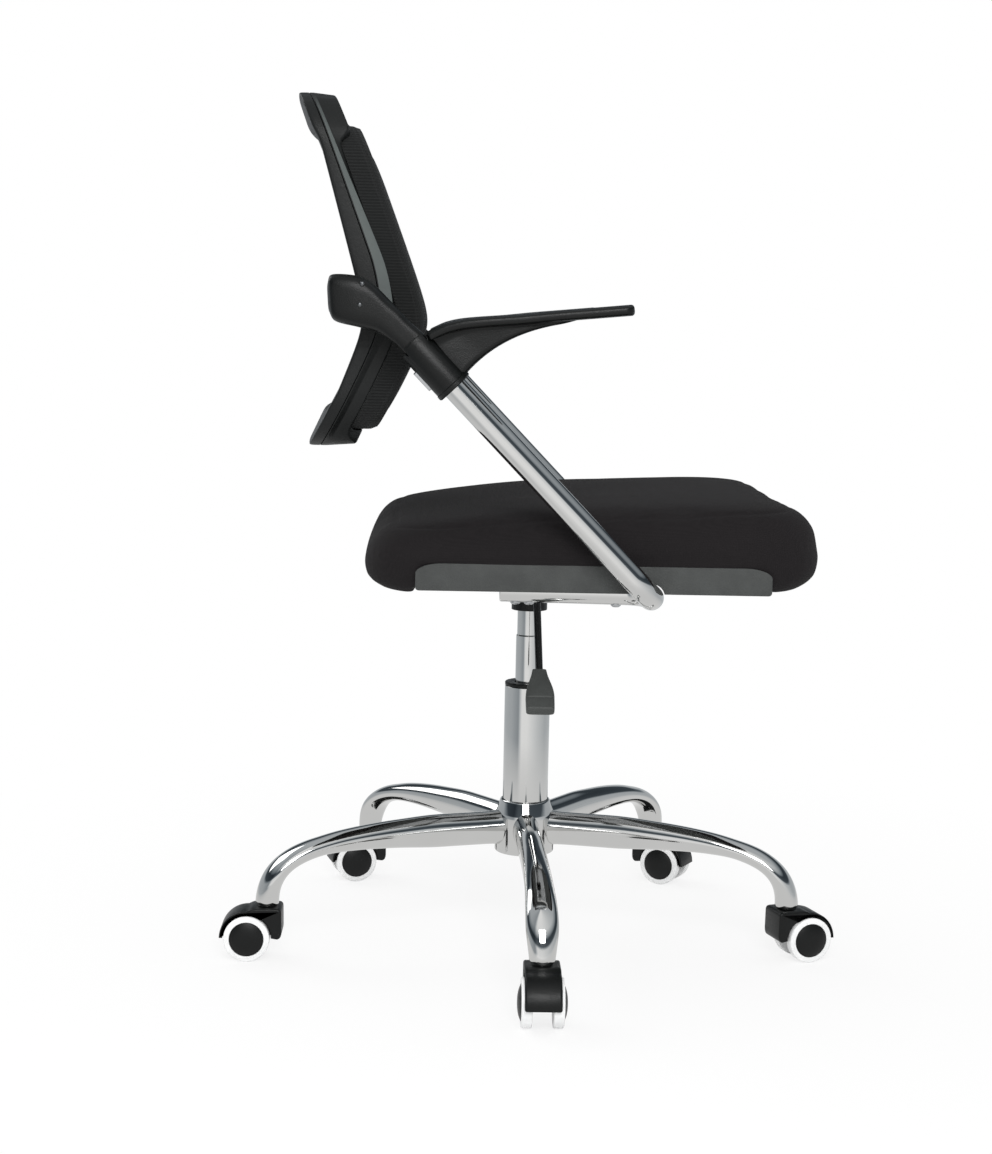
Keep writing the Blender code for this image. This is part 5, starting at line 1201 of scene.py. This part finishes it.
def make_back_net():
    """Carrier wrapped in net, and the net stretched over its front as one bowed sheet.

    The carrier is a rounded section carried round a loop. The sheet is a grid of heights and shares of the
    loop's width at each height, rolled back at its edge as a quarter ellipse.
    """
    outer = back_loop(CARRIER_HALF, CARRIER_LOW, CARRIER_HIGH, CARRIER_CORNER)
    inner = back_loop(CARRIER_HALF - CARRIER_WIDTH, CARRIER_LOW + CARRIER_WIDTH, CARRIER_HIGH - CARRIER_WIDTH,
                      CARRIER_CORNER - CARRIER_WIDTH / 2.0)

    def seat_face(z):
        return lean(z) + SEATED

    def front_face(z):
        return lean(z) + CARRIER_DEPTH

    section = [(0.0, seat_face), (1.0, seat_face), (1.0, front_face), (0.0, front_face)]
    reach = (0.0015, 0.0015, 0.006, 0.0075)
    points = rounded(ring_corners(outer, inner, section), reach, steps=8, closed=True)
    bar = assemble("mesh_carrier_wrapped", [patch(points, loop=True, detail=ring_cloth(points))])
    fit(bar, net_cloth("net_wrapped", False), ["mesh_carrier"])
    z = np.linspace(CARRIER_LOW, CARRIER_HIGH, 90)
    past = np.maximum(np.maximum(CARRIER_LOW + CARRIER_CORNER - z, z - CARRIER_HIGH + CARRIER_CORNER), 0.0)
    wide = CARRIER_HALF - CARRIER_CORNER + np.sqrt(np.maximum(CARRIER_CORNER ** 2 - past ** 2, 0.0))
    y = wide[:, None] * np.linspace(-1.0, 1.0, 90)[None, :]
    edge = np.minimum(wide[:, None] - np.abs(y), np.minimum(z - CARRIER_LOW, CARRIER_HIGH - z)[:, None])
    rolled = NET_ROLL * (1.0 - np.sqrt(1.0 - (1.0 - np.clip(edge / NET_ROLL_WIDTH, 0.0, 1.0)) ** 2))
    front = front_face(z)[:, None] + NET_GAP - bow(y) - rolled
    points = HINGE + np.stack([front, y, np.broadcast_to(z[:, None], y.shape)], axis=-1)
    run = np.cumsum(np.hypot(np.gradient(z), np.gradient(lean(z))))
    opened = np.clip((edge - CARRIER_WIDTH + NET_OVERLAP) / NET_FADE, 0.0, 1.0)
    cloth = np.stack(np.broadcast_arrays(y, run[:, None], opened), axis=-1)
    sheet = assemble("back_net_sheet", [patch(points, ring=False, detail=cloth)], crease=180.0)
    fit(sheet, net_cloth("net_open", True), ["back_mesh"])


# Cushion


def tilt(x, share):
    """Rise of the seat's slope at a distance forwards: full at the top, and 0.4 of it at the underside."""
    return (0.4 + 0.6 * share) * math.tan(CUSHION_SLOPE) * x


def rear_fall(x):
    """How far the crown falls towards the rear edge: a smooth step along the rear half."""
    return REAR_FALL * ease(-0.15 - x / (0.85 * CUSHION_HALF_X))


def cushion_rings(shrink):
    """Closed crowned form: rounded rectangles at rising levels, tilted and fallen at the rear.

    Each level gives its insets along and across and its height. The sides bulge by a parabola. Over the
    pan the underside is lifted to what it lies on.
    """
    body = CUSHION_HIGH - PAN_TOP
    levels = np.array([
        (0.150, 0.150, CUSHION_LOW), (0.080, 0.070, CUSHION_LOW), (0.030, 0.024, CUSHION_LOW),
        (0.012, 0.014, CUSHION_LOW + 0.007), (0.003, 0.0095, CUSHION_LOW + 0.017),
        (0.0, 0.0095, PAN_TOP + 0.0045), (0.0, 0.002, PAN_TOP + 0.20 * body),
        (0.001, 0.0, PAN_TOP + 0.38 * body), (0.007, 0.003, PAN_TOP + 0.60 * body),
        (0.020, 0.012, PAN_TOP + 0.79 * body), (0.042, 0.030, PAN_TOP + 0.905 * body),
        (0.085, 0.070, PAN_TOP + 0.965 * body), (0.150, 0.155, CUSHION_HIGH)])
    levels = flowing(np.linspace(0.0, len(levels) - 1.0, 64), levels)
    levels[:, 2] = np.clip(levels[:, 2], CUSHION_LOW, CUSHION_HIGH)
    loops = []
    for inset_x, inset_y, height in levels:
        inset = np.maximum((inset_x, inset_y), 0.0) + shrink * ease((height - PAN_TOP) / 0.012)
        corner = CUSHION_CORNER * (1.0 - 0.5 * min(inset_x, 0.150) / 0.150)
        box = soft_box(CUSHION_HALF_X - inset[0], CUSHION_HALF_Y - inset[1], 1.25 * corner, steps=12)
        loops.append(even_loop(box, count=220))
    loops = np.stack(loops)
    shares = np.clip(np.abs(loops / (CUSHION_HALF_X, CUSHION_HALF_Y)), 0.0, 1.0)
    loops *= 1.0 + CUSHION_BULGE / CUSHION_HALF_X * (1.0 - shares[..., ::-1] ** 2)
    height = levels[:, 2:] - shrink * ease((levels[:, 2:] - PAN_TOP) / 0.03)
    share = (height - CUSHION_LOW) / (CUSHION_HIGH - CUSHION_LOW)
    x, y = loops[..., 0], loops[..., 1]
    z = height + tilt(x, share) - rear_fall(x) * np.maximum(0.0, (height - PAN_TOP) / body)
    x = x + CUSHION_MIDDLE
    over_pan = (x > PAN_REAR + PAN_RIM) & (x < PAN_FRONT - PAN_RIM)
    floor = np.where(np.abs(y) < BOARD_HALF_Y, CUSHION_OVER_BOARD, CUSHION_OVER_PAN)
    z = np.where(over_pan, np.maximum(z, floor), z)
    return COLUMN + np.stack([x, y, z], axis=-1)


def seam_line():
    """Loop of the top seam, on the shoulder of the crowned form."""
    box = soft_box(CUSHION_HALF_X - SEAM_INSET_X, CUSHION_HALF_Y - SEAM_INSET_Y, SEAM_CORNER, steps=16)
    x, y = even_loop(box, count=900).T
    z = CUSHION_HIGH - SEAM_DROP + tilt(x, 0.90) - 0.86 * rear_fall(x)
    return COLUMN + np.stack([x + CUSHION_MIDDLE, y, z], axis=1)


def nearest(points, line):
    """Distance of each point from the nearest point of a line, in blocks."""
    blocks = np.array_split(points, max(1, len(points) // 4000))
    squares = [((block[:, None] - line[None]) ** 2).sum(axis=2).min(axis=1) for block in blocks]
    return np.sqrt(np.concatenate(squares))


def coordinates(mesh):
    """All vertex places of a mesh."""
    flat = np.zeros(len(mesh.vertices) * 3)
    mesh.vertices.foreach_get("co", flat)
    return flat.reshape(-1, 3)


def apply_all(made):
    """Puts an object's modifiers into its mesh."""
    mesh = bpy.data.meshes.new_from_object(made.evaluated_get(bpy.context.evaluated_depsgraph_get()))
    made.modifiers.clear()
    old, made.data = made.data, mesh
    bpy.data.meshes.remove(old)


def inflate(made, cap):
    """Swells the cover by cloth pressure without weight; moves are capped and fade to nothing at the pan."""
    rest = coordinates(made.data)
    cloth = made.modifiers.new("cover", "CLOTH")
    cloth.settings.use_pressure = True
    cloth.settings.uniform_pressure_force = 4.0
    cloth.settings.quality = 5
    cloth.settings.tension_stiffness = 30.0
    cloth.settings.compression_stiffness = 30.0
    cloth.settings.effector_weights.gravity = 0.0
    cloth.collision_settings.use_collision = False
    scene = bpy.context.scene
    for step in range(SWELL_FRAMES):
        scene.frame_set(step + 1)
    swollen = coordinates(made.evaluated_get(bpy.context.evaluated_depsgraph_get()).data)
    made.modifiers.clear()
    scene.frame_set(1)
    move = swollen - rest
    length = np.linalg.norm(move, axis=1, keepdims=True)
    move *= np.minimum(1.0, cap / np.maximum(length, 1e-9))
    move *= ease((rest[:, 2:] - PAN_TOP - SWELL_FREE) / SWELL_FADE)
    made.data.vertices.foreach_set("co", (rest + move).ravel())
    made.data.update()


def make_cushion():
    """Padded seat: the crowned form remeshed, swollen by simulation and smoothed, with a sunk seam.

    The seam is a bell-shaped groove round the top, sunk along the surface's normals.
    """
    made = assemble("seat_cushion_padded", [patch(capped(cushion_rings(COVER_SHRINK)))], crease=180.0)
    remesh = made.modifiers.new("even", "REMESH")
    remesh.mode = "VOXEL"
    remesh.voxel_size = COVER_VOXEL
    apply_all(made)
    inflate(made, sizes().swell)
    relax = made.modifiers.new("relax", "SMOOTH")
    relax.factor = 0.5
    relax.iterations = 3
    subdivision = made.modifiers.new("fine", "SUBSURF")
    subdivision.levels = 1
    subdivision.render_levels = 1
    apply_all(made)
    places = coordinates(made.data)
    normals = np.zeros(len(places) * 3)
    made.data.vertices.foreach_get("normal", normals)
    groove = np.exp(-(nearest(places, seam_line()) / sizes().seam_reach) ** 2)
    places -= sizes().seam_depth * groove[:, None] * normals.reshape(-1, 3)
    made.data.vertices.foreach_set("co", places.ravel())
    made.data.update()
    made.data.shade_smooth()
    fit(made, seat_cloth("woven_seat"), ["seat_cushion"])


def dress_hidden():
    """Finishes for the frame's own parts that stay, with their doubles welded and their rims bevelled."""
    finishes = {"column_socket": black_plastic(), "seat_board": plywood("birch_board")}
    kept = ["thrust_bearing", "piston_rod", "mount_plate", "hinge_pin_right", "hinge_pin_left"]
    kept += [f"{name}_{part}" for name in CASTERS for part in ("stem", "axle")]
    finishes.update({name: steel() for name in kept})
    for name, finish in finishes.items():
        node = frame["nodes"][name]
        node.data.materials.clear()
        node.data.materials.append(finish)
        weld = node.modifiers.new("weld", "WELD")
        weld.merge_threshold = 0.00001
        rim = node.modifiers.new("rim", "BEVEL")
        rim.width = 0.0006
        rim.segments = 2
        rim.limit_method = "ANGLE"
        rim.angle_limit = math.radians(40.0)


# Stage


def area_lamp(name, place, aim, width, power):
    """Square soft lamp that faces a point."""
    data = bpy.data.lights.new(name, "AREA")
    data.shape = "SQUARE"
    data.size = width
    data.energy = power
    lamp = bpy.data.objects.new(name, data)
    bpy.context.scene.collection.objects.link(lamp)
    lamp.matrix_world = facing(place, unit(aim - place), 0.0)


def facing(place, ahead, roll):
    """Placement that looks along a direction, turned about it by the roll."""
    right = unit(np.cross(ahead, Z_AXIS))
    upward = np.cross(right, ahead)
    across = math.cos(roll) * right + math.sin(roll) * upward
    upright = math.cos(roll) * upward - math.sin(roll) * right
    matrix = np.eye(4)
    matrix[:3, :3] = np.stack([across, upright, -ahead], axis=1)
    matrix[:3, 3] = place
    return Matrix(matrix.tolist())


def grey(level):
    """Opaque colour of a light level."""
    return level, level, level, 1.0


def ramp(tree, factor, stops):
    """Grey level read between pairs of position and level."""
    made = add(tree, "ShaderNodeValToRGB", {"Fac": factor})
    while len(made.color_ramp.elements) < len(stops):
        made.color_ramp.elements.new(1.0)
    for element, (position, level) in zip(made.color_ramp.elements, stops):
        element.position = position
        element.color = grey(level)
    return made.outputs[0]


@made_once("node_groups")
def room_group(name):
    """Brightness of the room round about, by the angle of a direction from the camera's side."""
    tree, given, out = blank_group(name, (("Direction", "NodeSocketVector", None),), ("Level",))
    axes = add(tree, "ShaderNodeSeparateXYZ", {0: given["Direction"]}).outputs
    angle = maths(tree, "ARCTAN2", axes["X"], maths(tree, "MULTIPLY", axes["Y"], -1.0))
    tree.links.new(ramp(tree, spread(tree, angle, -math.pi, math.pi), ROOM_LEVELS), out.inputs["Level"])
    return tree


def cooled(tree, level):
    """Colour of a light level: white when bright and bluish when dim, by a power on each channel."""
    channels = {name: maths(tree, "POWER", level, power) for name, power in COOLING}
    return add(tree, "ShaderNodeCombineColor", channels).outputs[0]


def make_floor(look):
    """Large pale floor: a disc of rings, lit plainly, and white to the camera except for the soft shadow."""
    radius = np.concatenate([[0.0], np.geomspace(0.3, 30.0, 24)])[:, None]
    angle = np.linspace(0.0, 2.0 * math.pi, 64, endpoint=False)
    points = np.stack(np.broadcast_arrays(radius * np.cos(angle), radius * np.sin(angle), 0.0), axis=-1)
    floor = assemble("studio_floor", [patch(points)])
    made = bpy.data.materials.new("studio_white")
    made.use_nodes = True
    tree = made.node_tree
    tree.nodes.clear()
    rays = add(tree, "ShaderNodeLightPath").outputs
    place = object_place(tree)
    reach = add(tree, "ShaderNodeVectorMath", {0: place}, operation="LENGTH").outputs["Value"]
    room = use_group(tree, room_group("room_brightness"), {"Direction": place})["Level"]
    mirrored = blend(tree, spread(tree, reach, 0.5, 1.5), grey(FLOOR_LEVEL), cooled(tree, room))
    tint = blend(tree, rays["Is Glossy Ray"], grey(1.0), mirrored)
    white = add(tree, "ShaderNodeEmission", {"Color": tint}).outputs[0]
    lit = add(tree, "ShaderNodeBsdfDiffuse", {"Color": (*look.floor, 1.0)}).outputs[0]
    unshaded = spread(tree, reach, 0.35, 1.0, new_low=0.80, new_high=1.0)
    share = maths(tree, "MULTIPLY", rays["Is Camera Ray"], unshaded)
    share = maths(tree, "ADD", share, rays["Is Glossy Ray"], clamp=True)
    mixed = add(tree, "ShaderNodeMixShader", {0: share, 1: lit, 2: white}).outputs[0]
    add(tree, "ShaderNodeOutputMaterial", {"Surface": mixed})
    floor.data.materials.append(made)


def make_world():
    """White to the camera and even for soft light; metal sees a bright wall, a dim band and a ceiling."""
    world = bpy.data.worlds.new("studio")
    bpy.context.scene.world = world
    world.use_nodes = True
    tree = world.node_tree
    tree.nodes.clear()
    direction = add(tree, "ShaderNodeTexCoord").outputs["Generated"]
    height = add(tree, "ShaderNodeSeparateXYZ", {0: direction}).outputs["Z"]
    bands = ramp(tree, spread(tree, height, -1.0, 1.0), SKY_LEVELS)
    room = use_group(tree, room_group("room_brightness"), {"Direction": direction})["Level"]
    rays = add(tree, "ShaderNodeLightPath").outputs
    mirrored = cooled(tree, maths(tree, "MULTIPLY", bands, room))
    soft = blend(tree, rays["Is Diffuse Ray"], mirrored, grey(SOFT_LEVEL))
    colour = blend(tree, rays["Is Camera Ray"], soft, grey(1.0))
    sky = add(tree, "ShaderNodeBackground", {"Color": colour, "Strength": 1.0}).outputs[0]
    add(tree, "ShaderNodeOutputWorld", {"Surface": sky})


def make_stage():
    """Plain studio: pale floor, soft lamps and the camera at the picture's angle."""
    scene = bpy.context.scene
    look = scene.stage_look
    scene.view_settings.view_transform = "Standard"
    make_floor(look)
    make_world()
    area_lamp("key", COLUMN + KEY_PLACE, COLUMN + LAMP_AIM, KEY_WIDTH, look.key)
    area_lamp("fill", COLUMN + FILL_PLACE, COLUMN + LAMP_AIM, FILL_WIDTH, look.fill)
    data = bpy.data.cameras.new("view")
    data.sensor_fit = "AUTO"
    data.sensor_width = 36.0
    data.lens = look.lens
    camera = bpy.data.objects.new("view", data)
    scene.collection.objects.link(camera)
    level = math.cos(CAMERA_PITCH)
    ahead = np.array([math.sin(CAMERA_YAW) * level, math.cos(CAMERA_YAW) * level, -math.sin(CAMERA_PITCH)])
    camera.matrix_world = facing(COLUMN + CAMERA_PLACE, ahead, CAMERA_ROLL)
    scene.camera = camera


# Operators and panel


class CHAIR_OT_stage(bpy.types.Operator):
    """Make the studio floor, the light and the camera"""

    bl_idname = "chair.stage"
    bl_label = "Stage"

    def execute(self, context):
        make_stage()
        return {"FINISHED"}


class CHAIR_OT_base(bpy.types.Operator):
    """Make the plated five-leg base"""

    bl_idname = "chair.base"
    bl_label = "Five-leg base"

    def execute(self, context):
        make_base()
        return {"FINISHED"}


class CHAIR_OT_column(bpy.types.Operator):
    """Make the column, its bush and the gas cylinder"""

    bl_idname = "chair.column"
    bl_label = "Column"

    def execute(self, context):
        make_column()
        return {"FINISHED"}


class CHAIR_OT_casters(bpy.types.Operator):
    """Make the caster hoods, wheels and caps"""

    bl_idname = "chair.casters"
    bl_label = "Casters"

    def execute(self, context):
        make_casters()
        return {"FINISHED"}


class CHAIR_OT_tubes(bpy.types.Operator):
    """Make the bent side tubes"""

    bl_idname = "chair.tubes"
    bl_label = "Side tubes"

    def execute(self, context):
        make_tubes()
        return {"FINISHED"}


class CHAIR_OT_pan(bpy.types.Operator):
    """Make the moulded seat pan"""

    bl_idname = "chair.pan"
    bl_label = "Seat pan"

    def execute(self, context):
        make_pan()
        return {"FINISHED"}


class CHAIR_OT_cushion(bpy.types.Operator):
    """Make the padded seat cushion"""

    bl_idname = "chair.cushion"
    bl_label = "Seat cushion"

    def execute(self, context):
        make_cushion()
        return {"FINISHED"}


class CHAIR_OT_lever(bpy.types.Operator):
    """Make the height lever and its paddle"""

    bl_idname = "chair.lever"
    bl_label = "Height lever"

    def execute(self, context):
        make_lever()
        return {"FINISHED"}


class CHAIR_OT_armrests(bpy.types.Operator):
    """Make the moulded armrests"""

    bl_idname = "chair.armrests"
    bl_label = "Armrests"

    def execute(self, context):
        make_armrests()
        return {"FINISHED"}


class CHAIR_OT_lugs(bpy.types.Operator):
    """Make the forked lugs that carry the back"""

    bl_idname = "chair.lugs"
    bl_label = "Back lugs"

    def execute(self, context):
        make_lugs()
        return {"FINISHED"}


class CHAIR_OT_back_shell(bpy.types.Operator):
    """Make the back's rear cover and front frame"""

    bl_idname = "chair.back_shell"
    bl_label = "Back shell"

    def execute(self, context):
        make_back_shell()
        return {"FINISHED"}


class CHAIR_OT_back_net(bpy.types.Operator):
    """Make the wrapped carrier and the stretched net"""

    bl_idname = "chair.back_net"
    bl_label = "Back net"

    def execute(self, context):
        make_back_net()
        return {"FINISHED"}


class CHAIR_OT_fasteners(bpy.types.Operator):
    """Make the small screw and bolt heads"""

    bl_idname = "chair.fasteners"
    bl_label = "Fasteners"

    def execute(self, context):
        make_fasteners()
        return {"FINISHED"}


class CHAIR_OT_hidden(bpy.types.Operator):
    """Finish the frame's own parts that stay in view"""

    bl_idname = "chair.hidden"
    bl_label = "Frame parts"

    def execute(self, context):
        dress_hidden()
        return {"FINISHED"}


STEPS = (CHAIR_OT_stage, CHAIR_OT_base, CHAIR_OT_column, CHAIR_OT_casters, CHAIR_OT_tubes, CHAIR_OT_pan,
         CHAIR_OT_cushion, CHAIR_OT_lever, CHAIR_OT_armrests, CHAIR_OT_lugs, CHAIR_OT_back_shell,
         CHAIR_OT_back_net, CHAIR_OT_fasteners, CHAIR_OT_hidden)


class CHAIR_PT_panel(bpy.types.Panel):
    """Sidebar list of the chair's steps, sizes and colours"""

    bl_idname = "CHAIR_PT_panel"
    bl_label = "Task chair"
    bl_space_type = "VIEW_3D"
    bl_region_type = "UI"
    bl_category = "Chair"

    def draw(self, context):
        for step in STEPS:
            self.layout.operator(step.bl_idname)
        for group in (context.scene.chair_sizes, context.scene.chair_colours, context.scene.stage_look):
            box = self.layout.box()
            for name in group.__annotations__:
                box.prop(group, name)


CLASSES = (ChairSizes, ChairColours, StageLook, *STEPS, CHAIR_PT_panel)


def register():
    """Makes the classes known and gives the scene their properties."""
    for item in CLASSES:
        bpy.utils.register_class(item)
    bpy.types.Scene.chair_sizes = PointerProperty(type=ChairSizes)
    bpy.types.Scene.chair_colours = PointerProperty(type=ChairColours)
    bpy.types.Scene.stage_look = PointerProperty(type=StageLook)


def unregister():
    """Takes the properties and classes away again."""
    del bpy.types.Scene.stage_look
    del bpy.types.Scene.chair_colours
    del bpy.types.Scene.chair_sizes
    for item in reversed(CLASSES):
        bpy.utils.unregister_class(item)


def main():
    """Builds the chair step by step."""
    register()
    for step in STEPS:
        group, name = step.bl_idname.split(".")
        getattr(getattr(bpy.ops, group), name)()


if __name__ == "__main__":
    main()
